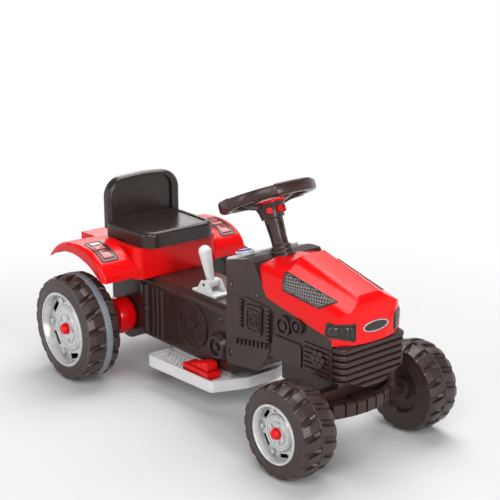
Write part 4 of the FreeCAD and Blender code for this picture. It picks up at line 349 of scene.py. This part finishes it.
# Lattice plastic: its pale grey is partly a painted highlight
LATTICE_PLASTIC_WITH_HIGHLIGHT = plastic("vent lattice", LATTICE_TONE_AND_HIGHLIGHT, roughness=0.32, coat=0.2, tone=0.12)
LENS = plastic("lamp lens", LENS_RED, roughness=0.16, coat=0.8, tone=0.2)
PALE_LENS = plastic("pale lens", PALE_RED, roughness=0.2, coat=0.6, tone=0.06)
CHROME = metal("bright trim", SILVER, roughness=0.2, metallic=0.7)
WHITE_PLASTIC = plastic("white plastic", WHITE, roughness=0.3, coat=0.2, tone=0.03)


def middle(low, high):
    """The middle of a box given by its lowest and highest corners."""
    return (Vector(low) + Vector(high)) / 2


def dress_frame():
    """Give every CAD node its slot's material."""
    for entry in frame["record"]["subparts"]:
        slot_name = entry["material_slot"]
        if slot_name == "band_grey":
            low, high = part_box(entry["node"])
            material = band_rubber(entry["node"] + " rubber", middle(low, high))
        else:
            material = MATERIALS[slot_name]
        item = NODES[entry["node"]]
        item.data.materials.clear()
        item.data.materials.append(material)


# Pieces that lie on the CAD surfaces

REACH = 1
SINK = 0.5 * MM
LEFT = Vector((0, 1, 0))


def surface(*names):
    """The faces of some CAD nodes, to lay pieces on."""
    vertices, faces = [], []
    for name in names:
        mesh = NODES[name].data
        first = len(vertices)
        vertices += [vertex.co.copy() for vertex in mesh.vertices]
        faces += [[first + index for index in face.vertices] for face in mesh.polygons]
    return BVHTree.FromPolygons(vertices, faces)


def seen(tree, start, along):
    """The first point that a ray meets, and the normal there towards the ray's start."""
    point, normal, _, _ = tree.ray_cast(start, along)
    if point is None:
        point, normal, _, _ = tree.find_nearest(start)
    if normal.dot(along) > 0:
        normal = -normal
    return point, normal


def from_side(tree, sign):
    """A finder of surface spots by their place ahead and height, seen from one side."""
    return lambda x, z: seen(tree, Vector((x, sign * REACH, z)), Vector((0, -sign, 0)))


def from_top(tree):
    """A finder of surface spots by their place ahead and across, seen from above."""
    return lambda x, y: seen(tree, Vector((x, y, REACH)), Vector((0, 0, -1)))


def from_front(tree):
    """A finder of surface spots by their place across and height, seen from the front."""
    return lambda y, z: seen(tree, Vector((REACH, y, z)), Vector((-1, 0, 0)))


def make_piece(name, vertices, faces, material, body, slot_name):
    """A smooth mesh that rides on a body; its slot name is not used."""
    mesh = bpy.data.meshes.new(name)
    mesh.from_pydata(vertices, [], faces)
    for face in mesh.polygons:
        face.use_smooth = True
    item = bpy.data.objects.new(name, mesh)
    bpy.context.scene.collection.objects.link(item)
    mesh.materials.append(material)
    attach(item, body)
    return item


def closed_sheet(tops, unders, faces, rim):
    """The vertices and faces of a sheet closed by its underside and by walls along its rim."""
    count = len(tops)
    first, second, third = [tops[index] for index in faces[0][:3]]
    if (second - first).cross(third - first).dot(tops[faces[0][0]] - unders[faces[0][0]]) < 0:
        faces = [face[::-1] for face in faces]
        rim = rim[::-1]
    backs = [tuple(count + index for index in face[::-1]) for face in faces]
    walls = [(end, start, count + start, count + end) for start, end in zip(rim, rim[1:] + rim[:1])]
    return tops + unders, faces + backs + walls


def band(first, second, size):
    """The faces between two rings of vertices, each ring given by its first vertex."""
    steps = [(step, (step + 1) % size) for step in range(size)]
    return [(first + step, first + after, second + after, second + step) for step, after in steps]


# A bead's section, in shares of its width and of its height

BEAD_SHARES = (
    (-0.5, -0.3), (-0.46, 0.5), (-0.36, 0.86), (-0.2, 1),
    (0.2, 1), (0.36, 0.86), (0.46, 0.5), (0.5, -0.3),
)


def bead(name, spots, width, height, material, body, slot_name):
    """A rounded strip along a closed line of spots on a surface, each a point and its normal."""
    count = len(spots)
    size = len(BEAD_SHARES)
    vertices, faces = [], []
    for index, (point, normal) in enumerate(spots):
        before, after = spots[index - 1], spots[(index + 1) % count]
        along = (after[0] - before[0]).normalized()
        up = (before[1] + normal + after[1]).normalized()
        across = along.cross(up).normalized()
        vertices += [point + across * out * width + up * rise * height for out, rise in BEAD_SHARES]
        faces += band(index * size, (index + 1) % count * size, size)
    make_piece(name, vertices, faces, material, body, slot_name)


def rectangle(left, foot, right, top):
    """The corners of a rectangle, in order round it."""
    return ((left, foot), (right, foot), (right, top), (left, top))


CORNER_STEPS = 5


def along_corners(corners, step, rounding):
    """Points along a closed outline, its corners rounded, one point each step."""
    outline = []
    for index, corner in enumerate(corners):
        corner = Vector(corner)
        before = Vector(corners[index - 1]) - corner
        after = Vector(corners[(index + 1) % len(corners)]) - corner
        start, end = corner + before.normalized() * rounding, corner + after.normalized() * rounding
        for part in range(CORNER_STEPS + 1):
            share = part / CORNER_STEPS
            outline.append(start * (1 - share) ** 2 + corner * 2 * share * (1 - share) + end * share ** 2)
    points = []
    for index, point in enumerate(outline):
        follow = outline[(index + 1) % len(outline)]
        count = max(1, round((follow - point).length / step))
        points += [point.lerp(follow, part / count) for part in range(count)]
    return points


PILLOW_POWER = 8
PAD_DEPTH = 1 * MM


def pillow(name, find, corners, lift, steps, material, body, slot_name):
    """A raised pad with rounded edges, laid on a surface between four corners."""
    across, along = steps
    first, second, third, fourth = [Vector(corner) for corner in corners]
    tops, unders, faces = [], [], []
    for row in range(along + 1):
        down = row / along
        for column in range(across + 1):
            share = column / across
            spot = first.lerp(second, share).lerp(fourth.lerp(third, share), down)
            point, normal = find(*spot)
            out = max(abs(2 * share - 1), abs(2 * down - 1))
            tops.append(point + normal * (lift * (1 - out ** PILLOW_POWER) - (SINK if out == 1 else 0)))
            unders.append(point - normal * PAD_DEPTH)
    wide = across + 1
    for row in range(along):
        for column in range(across):
            corner = row * wide + column
            faces.append((corner, corner + 1, corner + wide + 1, corner + wide))
    rim = list(range(across)) + [row * wide + across for row in range(along)]
    rim += [along * wide + column for column in range(across, 0, -1)]
    rim += [row * wide for row in range(along, 0, -1)]
    make_piece(name, *closed_sheet(tops, unders, faces, rim), material, body, slot_name)


OVAL_STEPS = 56
DOME_RINGS = 6


def turns(count):
    """The angles of equal steps round a circle."""
    return [2 * math.pi * step / count for step in range(count)]


def oval(find, centre, half, steps=OVAL_STEPS):
    """Spots on a surface along an oval."""
    return [find(centre[0] + half[0] * math.cos(turn), centre[1] + half[1] * math.sin(turn))
            for turn in turns(steps)]


def dome(name, find, centre, half, lift, material, body, slot_name):
    """An oval dome on a surface."""
    point, normal = find(*centre)
    tops, unders, faces = [point + normal * lift], [point - normal * PAD_DEPTH], []
    for ring in range(1, DOME_RINGS + 1):
        out = ring / DOME_RINGS
        for point, normal in oval(find, centre, (half[0] * out, half[1] * out)):
            tops.append(point + normal * (lift * (1 - out ** 2) - (SINK if ring == DOME_RINGS else 0)))
            unders.append(point - normal * PAD_DEPTH)
    for step in range(OVAL_STEPS):
        after = (step + 1) % OVAL_STEPS
        faces.append((0, 1 + step, 1 + after))
        for ring in range(DOME_RINGS - 1):
            inner, outer = 1 + ring * OVAL_STEPS, 1 + (ring + 1) * OVAL_STEPS
            faces.append((inner + step, outer + step, outer + after, inner + after))
    rim = [1 + (DOME_RINGS - 1) * OVAL_STEPS + step for step in range(OVAL_STEPS)]
    make_piece(name, *closed_sheet(tops, unders, faces, rim), material, body, slot_name)


SIDES = (("right", -1), ("left", 1))

# Bonnet: vent lattices, ribs on the lamp covers and a plain oval badge

VENT_CORNERS = ((0.23615, 0.357), (0.24575, 0.325), (0.34335, 0.312), (0.37055, 0.3275))
CELL_SIDES = 6
CELL_RADIUS = 3.3 * MM
CELL_MARGIN = 1.2 * MM
CELL_HOLE_SHARE = 0.74
CELL_EDGE_SHARE = 0.99
LATTICE_LIFT = 1.1 * MM
CELL_LEVELS = (
    (CELL_EDGE_SHARE, LATTICE_LIFT), (CELL_HOLE_SHARE, LATTICE_LIFT),
    (CELL_HOLE_SHARE, -SINK), (CELL_EDGE_SHARE, -SINK),
)
VENT_FRAME_STEP = 4 * MM
VENT_FRAME_ROUNDING = 2.5 * MM
VENT_FRAME_SIZE = (3 * MM, 1.6 * MM)


def is_inside(spot, corners):
    """Whether a point lies inside a convex outline, drawn either way round."""
    sides = []
    for index, corner in enumerate(corners):
        follow = corners[(index + 1) % len(corners)]
        along = (follow[0] - corner[0], follow[1] - corner[1])
        away = (spot[0] - corner[0], spot[1] - corner[1])
        sides.append(along[0] * away[1] - along[1] * away[0])
    return all(side > 0 for side in sides) or all(side < 0 for side in sides)


def cell_centres():
    """The centres of six-sided cells, in staggered rows, that lie inside the vent."""
    wide, high = CELL_RADIUS * math.sqrt(3), CELL_RADIUS * 1.5
    low_x, low_z = [min(corner[axis] for corner in VENT_CORNERS) for axis in (0, 1)]
    top_x, top_z = [max(corner[axis] for corner in VENT_CORNERS) for axis in (0, 1)]
    for row in range(int((top_z - low_z) / high) + 1):
        for column in range(int((top_x - low_x) / wide) + 1):
            spot = (low_x + (column + row % 2 / 2) * wide, low_z + row * high)
            around = [(spot[0] + out * CELL_MARGIN, spot[1] + rise * CELL_MARGIN)
                      for out, rise in ((1, 0), (-1, 0), (0, 1), (0, -1))]
            if all(is_inside(place, VENT_CORNERS) for place in around):
                yield Vector(spot)


def held_inside(spot, corners):
    """A point itself where it lies inside an outline, or else the nearest point of the outline."""
    if is_inside(spot, corners):
        return spot
    places = []
    for index, corner in enumerate(corners):
        start, end = Vector(corner), Vector(corners[(index + 1) % len(corners)])
        share = (spot - start).dot(end - start) / (end - start).length_squared
        places.append(start.lerp(end, min(max(share, 0), 1)))
    return min(places, key=lambda place: (place - spot).length)


def vent_lattice(side, sign):
    """A sheet with six-sided holes over the vent's dark ground, in a thin black frame; the sheet's pale grey is
    partly a painted highlight.
    """
    find = from_side(surface(f"hood_vent_{side}", "hood"), sign)
    vertices, faces = [], []
    for centre in cell_centres():
        first = len(vertices)
        ways = [math.pi * (2 * corner / CELL_SIDES + 1 / CELL_SIDES) for corner in range(CELL_SIDES)]
        edge = [held_inside(centre + Vector((math.cos(way), math.sin(way))) * CELL_RADIUS, VENT_CORNERS)
                for way in ways]
        for level, (out, lift) in enumerate(CELL_LEVELS):
            for spot in edge:
                point, normal = find(*centre.lerp(spot, out))
                vertices.append(point + normal * lift)
            follow = (level + 1) % len(CELL_LEVELS)
            ring_faces = band(first + level * CELL_SIDES, first + follow * CELL_SIDES, CELL_SIDES)
            faces += [face[::-sign] for face in ring_faces]
    lattice = make_piece(f"vent_lattice_{side}", vertices, faces, LATTICE_PLASTIC_WITH_HIGHLIGHT, "chassis", "mesh_dark")
    for face in lattice.data.polygons:
        face.use_smooth = False
    outline = along_corners(VENT_CORNERS, VENT_FRAME_STEP, VENT_FRAME_ROUNDING)
    spots = [find(*spot) for spot in outline]
    bead(f"vent_frame_{side}", spots, *VENT_FRAME_SIZE, TRIM, "chassis", "mesh_dark")


LAMP_AXIS = (0.385, 0.06)
LAMP_TURNS = (-14, 108)
LAMP_RISE = 0.24
LAMP_RIBS = 5
LAMP_FRAME_SHARES = (0.02, 0.98)
LAMP_FRAME_COUNTS = (30, 8)
LAMP_FRAME_SIZE = (3.6 * MM, 1.4 * MM)
RIB_WIDTH_SHARES = (0.14, 0.86)
RIB_HEIGHT_SHARES = (0.12, 0.88)
RIB_LIFT = 2.4 * MM
RIB_STEPS = (10, 10)


def lamp_finder(side, sign):
    """Points on a lamp cover by the turn round its corner, in degrees, and the height share."""
    node = f"headlamp_{side}"
    tree = surface(node, "hood")
    low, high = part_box(node)
    inner_y = min(abs(low[1]), abs(high[1]))

    def find(turn, share):
        way = Vector((math.cos(math.radians(turn)), sign * math.sin(math.radians(turn)), 0))
        axis = Vector((LAMP_AXIS[0], sign * LAMP_AXIS[1], 0))
        halfway, _ = seen(tree, axis + way * REACH + Vector((0, 0, (low[2] + high[2]) / 2)), -way)
        foot = low[2] + (abs(halfway.y) - inner_y) * LAMP_RISE
        return seen(tree, axis + way * REACH + Vector((0, 0, foot + (high[2] - foot) * share)), -way)

    return find


def headlamp_trim(side, sign):
    """Upright ribs on a smoked lamp cover, in a black frame that goes round the bonnet's corner."""
    find = lamp_finder(side, sign)
    start, end = LAMP_TURNS
    foot, top = LAMP_FRAME_SHARES
    corners = rectangle(start, foot, end, top)
    outline = []
    for index, corner in enumerate(corners):
        follow = corners[(index + 1) % len(corners)]
        count = LAMP_FRAME_COUNTS[index % 2]
        outline += [Vector(corner).lerp(Vector(follow), part / count) for part in range(count)]
    spots = [find(*spot) for spot in outline]
    bead(f"headlamp_frame_{side}", spots, *LAMP_FRAME_SIZE, TRIM, "chassis", "lamp_smoke")
    pitch = (end - start) / LAMP_RIBS
    foot, top = RIB_HEIGHT_SHARES
    for index in range(LAMP_RIBS):
        left, right = [start + pitch * (index + share) for share in RIB_WIDTH_SHARES]
        pillow(f"headlamp_rib_{side}_{index + 1}", find, rectangle(left, foot, right, top), RIB_LIFT, RIB_STEPS,
               MATERIALS["lamp_smoke"], "chassis", "lamp_smoke")


BADGE_CENTRE = (0, 0.279)
BADGE_HALF = (0.033, 0.0095)
BADGE_RING_SIZE = (3 * MM, 1.4 * MM)
BADGE_LIFT = 1.2 * MM


def nose_badge():
    """A plain oval plate in a bright ring, without any sign."""
    find = from_front(surface("hood"))
    ring = oval(find, BADGE_CENTRE, BADGE_HALF)
    bead("nose_badge_ring", ring, *BADGE_RING_SIZE, CHROME, "chassis", "steel")
    dome("nose_badge_plate", find, BADGE_CENTRE, BADGE_HALF, BADGE_LIFT, MATERIALS["axle_black"], "chassis",
         "steel")


# Engine sides: a round cap in a raised frame on each panel

CAP_CENTRE = (0.167, 0.243)
CAP_FRAME_HALF = (18 * MM, 22 * MM)
CAP_FRAME_STEP = 3 * MM
CAP_FRAME_ROUNDING = 6 * MM
CAP_FRAME_SIZE = (4 * MM, 2.4 * MM)
CAP_RINGS = ((12.5 * MM, (4 * MM, 2.4 * MM)), (7 * MM, (3 * MM, 1.8 * MM)))
CAP_DOME_HALF = (3.6 * MM, 3.6 * MM)
CAP_DOME_LIFT = 1.8 * MM


def engine_cap(side, sign):
    find = from_side(surface(f"engine_shell_{side}"), sign)
    finish = (MATERIALS["black_brown"], "chassis", "black_brown")
    x, z = CAP_CENTRE
    wide, high = CAP_FRAME_HALF
    corners = rectangle(x - wide, z - high, x + wide, z + high)
    outline = along_corners(corners, CAP_FRAME_STEP, CAP_FRAME_ROUNDING)
    bead(f"engine_cap_frame_{side}", [find(*spot) for spot in outline], *CAP_FRAME_SIZE, *finish)
    for index, (radius, size) in enumerate(CAP_RINGS):
        bead(f"engine_cap_ring_{side}_{index + 1}", oval(find, CAP_CENTRE, (radius, radius)), *size, *finish)
    dome(f"engine_cap_dome_{side}", find, CAP_CENTRE, CAP_DOME_HALF, CAP_DOME_LIFT, *finish)


# Fenders: a lamp cluster of plain lenses in each inlay

LENS_SHARES = ((0.06, 0.3), (0.36, 0.5), (0.56, 0.94))
LENS_WIDTH_SHARES = (0.14, 0.86)
LENS_LIFT = 1.5 * MM
LENS_STEPS = (12, 12)
PALE_LENS_INDEX = 1
FENDER_FRAME_SHARES = (0.01, 0.99)
FENDER_FRAME_STEP = 4 * MM
FENDER_FRAME_ROUNDING = 6 * MM
FENDER_FRAME_SIZE = (3.2 * MM, 1.2 * MM)


def fender_lenses(side, sign):
    node = f"fender_lamp_{side}"
    low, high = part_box(node)
    find = from_top(surface(node, "fender_body"))

    def spot(along, across):
        inner, outer = sorted((abs(low[1]), abs(high[1])))
        return (low[0] + (high[0] - low[0]) * along, sign * (inner + (outer - inner) * across))

    start, end = FENDER_FRAME_SHARES
    corners = [spot(*share) for share in rectangle(start, start, end, end)]
    outline = along_corners(corners, FENDER_FRAME_STEP, FENDER_FRAME_ROUNDING)
    spots = [find(*place) for place in outline]
    bead(f"fender_frame_{side}", spots, *FENDER_FRAME_SIZE, TRIM, "chassis", "inlay")
    inner, outer = LENS_WIDTH_SHARES
    for index, (rear, front) in enumerate(LENS_SHARES):
        corners = [spot(*share) for share in rectangle(rear, inner, front, outer)]
        material = PALE_LENS if index == PALE_LENS_INDEX else LENS
        pillow(f"fender_lens_{side}_{index + 1}", find, corners, LENS_LIFT, LENS_STEPS, material,
               "chassis", "inlay")


# Dash and steering wheel

DASH_UP = Vector((-0.2628, 0, 0.9648))
BUTTON_RING = 18.2 * MM
BUTTON_RING_SIZE = (5 * MM, 1.8 * MM)
CAST_HEIGHT = 50 * MM


def button_ring():
    """The white ring round the start button."""
    low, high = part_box("start_button")
    centre = middle(low, high)
    tree = surface("dash_panel", "engine_shell_right", "engine_shell_left")
    ahead = DASH_UP.cross(LEFT).normalized()
    spots = []
    for turn in turns(OVAL_STEPS):
        out = ahead * math.cos(turn) + LEFT * math.sin(turn)
        spots.append(seen(tree, centre + out * BUTTON_RING + DASH_UP * CAST_HEIGHT, -DASH_UP))
    bead("start_button_ring", spots, *BUTTON_RING_SIZE, WHITE_PLASTIC, "chassis", "bush")


WHEEL_CENTRE = Vector((0.09575, 0, 0.473))
WHEEL_UP = Vector((-0.406737, 0, 0.913545))
HUB_RING_DROP = 13 * MM
HUB_RING_SIZE = (6 * MM, 2.4 * MM)
RIM_RADIUS = 92 * MM
RIM_STEPS = 240
GRIP_TURNS = ((-30, 30), (90, 150), (210, 270))
GRIP_EASE = 2
GRIP_HALF = (12 * MM, 13 * MM)
THIN_HALF = (11.3 * MM, 11.3 * MM)
SECTION_STEPS = 24
SECTION_POWER = 0.5


def wheel_way(turn):
    """The way out from the steering wheel's centre at a turn in degrees, zero ahead."""
    ahead = LEFT.cross(WHEEL_UP).normalized()
    return ahead * math.cos(math.radians(turn)) + LEFT * math.sin(math.radians(turn))


def hub_ring():
    """A red ring round the hub, under the rim."""
    tree = surface("steering_hub_cover")
    centre = WHEEL_CENTRE - WHEEL_UP * HUB_RING_DROP
    ways = [wheel_way(360 * step / OVAL_STEPS) for step in range(OVAL_STEPS)]
    spots = [seen(tree, centre + way * RIM_RADIUS, -way) for way in ways]
    bead("hub_ring", spots, *HUB_RING_SIZE, MATERIALS["red_gloss"], "steering", "red_gloss")


def grip_share(turn):
    """One on a thick part of the rim, zero between the thick parts."""
    shares = []
    for start, end in GRIP_TURNS:
        past = (turn - start) % 360
        shares.append(min(past / GRIP_EASE, (end - start - past) / GRIP_EASE, 1))
    return max(0, *shares)


def steering_grips():
    """The rim's flat-sided cover with three thicker grips."""
    vertices, faces = [], []
    for step in range(RIM_STEPS):
        turn = 360 * step / RIM_STEPS
        way = wheel_way(turn)
        thick = grip_share(turn)
        wide, high = [thin + (grip - thin) * thick for thin, grip in zip(THIN_HALF, GRIP_HALF)]
        for around in turns(SECTION_STEPS):
            out, rise = [math.copysign(abs(value) ** SECTION_POWER, value)
                         for value in (math.cos(around), math.sin(around))]
            vertices.append(WHEEL_CENTRE + way * (RIM_RADIUS + wide * out) + WHEEL_UP * high * rise)
        ring, follow = step * SECTION_STEPS, (step + 1) % RIM_STEPS * SECTION_STEPS
        for part in range(SECTION_STEPS):
            after = (part + 1) % SECTION_STEPS
            faces.append((ring + part, follow + part, follow + after, ring + after))
    make_piece("steering_rim_cover", vertices, faces, MATERIALS["black_brown"], "steering", "black_brown")


# Wheels: three raised rings on each rim

RIM_RING_SHARES = (0.955, 0.52, 0.37)
RING_STEPS = 72
RIM_RING_SIZES = ((3.4 * MM, 1.2 * MM), (3 * MM, 1.2 * MM), (2.4 * MM, 1 * MM))


def rim_rings(end, side, sign):
    node = f"{end}_rim_{side}"
    find = from_side(surface(node), sign)
    low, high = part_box(node)
    centre = middle(low, high)
    radius = (high[2] - low[2]) / 2
    for index, (share, size) in enumerate(zip(RIM_RING_SHARES, RIM_RING_SIZES)):
        spots = oval(find, (centre.x, centre.z), (radius * share, radius * share), RING_STEPS)
        bead(f"{end}_rim_ring_{side}_{index + 1}", spots, *size, MATERIALS["wheel_grey"],
             f"{end}_wheel_{side}", "wheel_grey")


# Painted shade: dark crosses on the screw heads stand for the shade in their cross recesses

CROSS_HALF = (2.6 * MM, 0.55 * MM)
CROSS_LIFT = 0.15 * MM
CROSS_STEPS = (6, 6)


def solids_of(mesh):
    """The vertices of each separate solid in a mesh."""
    leader = list(range(len(mesh.vertices)))

    def lead(index):
        while leader[index] != index:
            leader[index] = leader[leader[index]]
            index = leader[index]
        return index

    for edge in mesh.edges:
        first, second = edge.vertices
        leader[lead(first)] = lead(second)
    groups = {}
    for vertex in mesh.vertices:
        groups.setdefault(lead(vertex.index), []).append(vertex.co)
    return list(groups.values())


def painted_screw_recess_shades():
    find = from_side(surface("shell_screws"), -1)
    for index, points in enumerate(solids_of(NODES["shell_screws"].data)):
        spans = [[point[axis] for point in points] for axis in (0, 2)]
        x, z = [(min(span) + max(span)) / 2 for span in spans]
        for bar, (wide, high) in enumerate((CROSS_HALF, CROSS_HALF[::-1])):
            corners = rectangle(x - wide, z - high, x + wide, z + high)
            # Painted shade: a dark raised cross where the screw's recess would be in shade
            pillow(f"screw_recess_shade_{index + 1}_{bar + 1}", find, corners, CROSS_LIFT, CROSS_STEPS, TRIM,
                   "chassis", "steel")


# Studio

FLOOR_HALF = 60
FLOOR_DROP = 0.3 * MM
FLOOR_FADE = (0.6, 1.35)
FLOOR_GREY = linear(216, 216, 216)
FLOOR_ROUGHNESS = 0.9
PURE_WHITE = (1, 1, 1, 1)

# Each lamp's name, place, width and height in metres, and power in watts

LIGHTS = (
    ("overhead", (-0.4, 0.9, 2.6), (2.0, 2.4), 72),
    ("key", (1.8, -2.0, 2.3), (1.9, 1.7), 50),
    ("strip_front", (2.7, -0.6, 0.9), (0.4, 1.6), 31),
    ("strip_side", (-0.6, -2.7, 1.1), (0.3, 1.7), 14),
    ("rear", (-2.4, 1.2, 1.6), (1.0, 1.2), 12),
)
HORIZON_LIGHT = 0.27
ZENITH_LIGHT = 0.18
LIGHT_FADE = (0.05, 0.7)
BACKDROP_FADE = (0.25, 0.45)
LIGHT_AIM = Vector((0, 0, 0.2))


def make_world():
    """A surround that dims towards the ceiling, with a backdrop that is white near the horizon."""
    world = bpy.data.worlds.new("Studio")
    bpy.context.scene.world = world
    world.use_nodes = True
    nodes = Nodes(world.node_tree)
    split = nodes.add("ShaderNodeSeparateXYZ")
    nodes.join(nodes.add("ShaderNodeTexCoord").outputs["Generated"], split.inputs["Vector"])
    light = nodes.remap(split.outputs["Z"], *LIGHT_FADE, HORIZON_LIGHT, ZENITH_LIGHT)
    backdrop = nodes.remap(split.outputs["Z"], *BACKDROP_FADE, 1, ZENITH_LIGHT)
    choice = nodes.add("ShaderNodeMix", data_type="FLOAT")
    nodes.join(nodes.backdrop_share(), choice.inputs["Factor"])
    nodes.join(light, choice.inputs["A"])
    nodes.join(backdrop, choice.inputs["B"])
    surround = nodes.tree.nodes["Background"]
    surround.inputs["Color"].default_value = PURE_WHITE
    nodes.join(choice.outputs["Result"], surround.inputs["Strength"])


def make_floor():
    """A pale floor that keeps the shadow near the object and fades to plain white further out."""
    mesh = bpy.data.meshes.new("floor")
    corners = [(x * FLOOR_HALF, y * FLOOR_HALF, -FLOOR_DROP) for x, y in ((-1, -1), (1, -1), (1, 1), (-1, 1))]
    mesh.from_pydata(corners, [], [(0, 1, 2, 3)])
    floor = bpy.data.objects.new("floor", mesh)
    bpy.context.scene.collection.objects.link(floor)
    shader = Shader("floor")
    shader.set(base_color=FLOOR_GREY, roughness=FLOOR_ROUGHNESS, specular=0)
    plain = shader.add("ShaderNodeEmission")
    plain.inputs["Color"].default_value = PURE_WHITE
    plain.inputs["Strength"].default_value = 1
    distance = shader.add("ShaderNodeVectorMath", operation="LENGTH")
    shader.join(shader.place(), distance.inputs[0])
    far = shader.add("ShaderNodeMapRange", interpolation_type="SMOOTHSTEP")
    shader.join(distance.outputs["Value"], far.inputs["Value"])
    far.inputs["From Min"].default_value, far.inputs["From Max"].default_value = FLOOR_FADE
    choice = shader.add("ShaderNodeMixShader")
    share, near, away = choice.inputs
    shader.join(shader.maths("MULTIPLY", shader.backdrop_share(), far.outputs["Result"]), share)
    shader.join(shader.surface.outputs["BSDF"], near)
    shader.join(plain.outputs["Emission"], away)
    shader.join(choice.outputs["Shader"], shader.tree.nodes["Material Output"].inputs["Surface"])
    mesh.materials.append(shader.material)


def make_lights():
    for name, place, (width, height), power in LIGHTS:
        data = bpy.data.lights.new(name, "AREA")
        data.shape = "RECTANGLE"
        data.size = width
        data.size_y = height
        data.energy = power
        lamp = bpy.data.objects.new(name, data)
        bpy.context.scene.collection.objects.link(lamp)
        lamp.location = place
        lamp.rotation_euler = (LIGHT_AIM - Vector(place)).to_track_quat("-Z", "Y").to_euler()


make_camera()
make_world()
make_floor()
make_lights()
dress_frame()
for side, sign in SIDES:
    vent_lattice(side, sign)
    headlamp_trim(side, sign)
    engine_cap(side, sign)
    fender_lenses(side, sign)
nose_badge()
button_ring()
hub_ring()
steering_grips()
for end in ("front", "rear"):
    for side, sign in SIDES:
        rim_rings(end, side, sign)
painted_screw_recess_shades()

bpy.context.scene.view_settings.view_transform = "Standard"
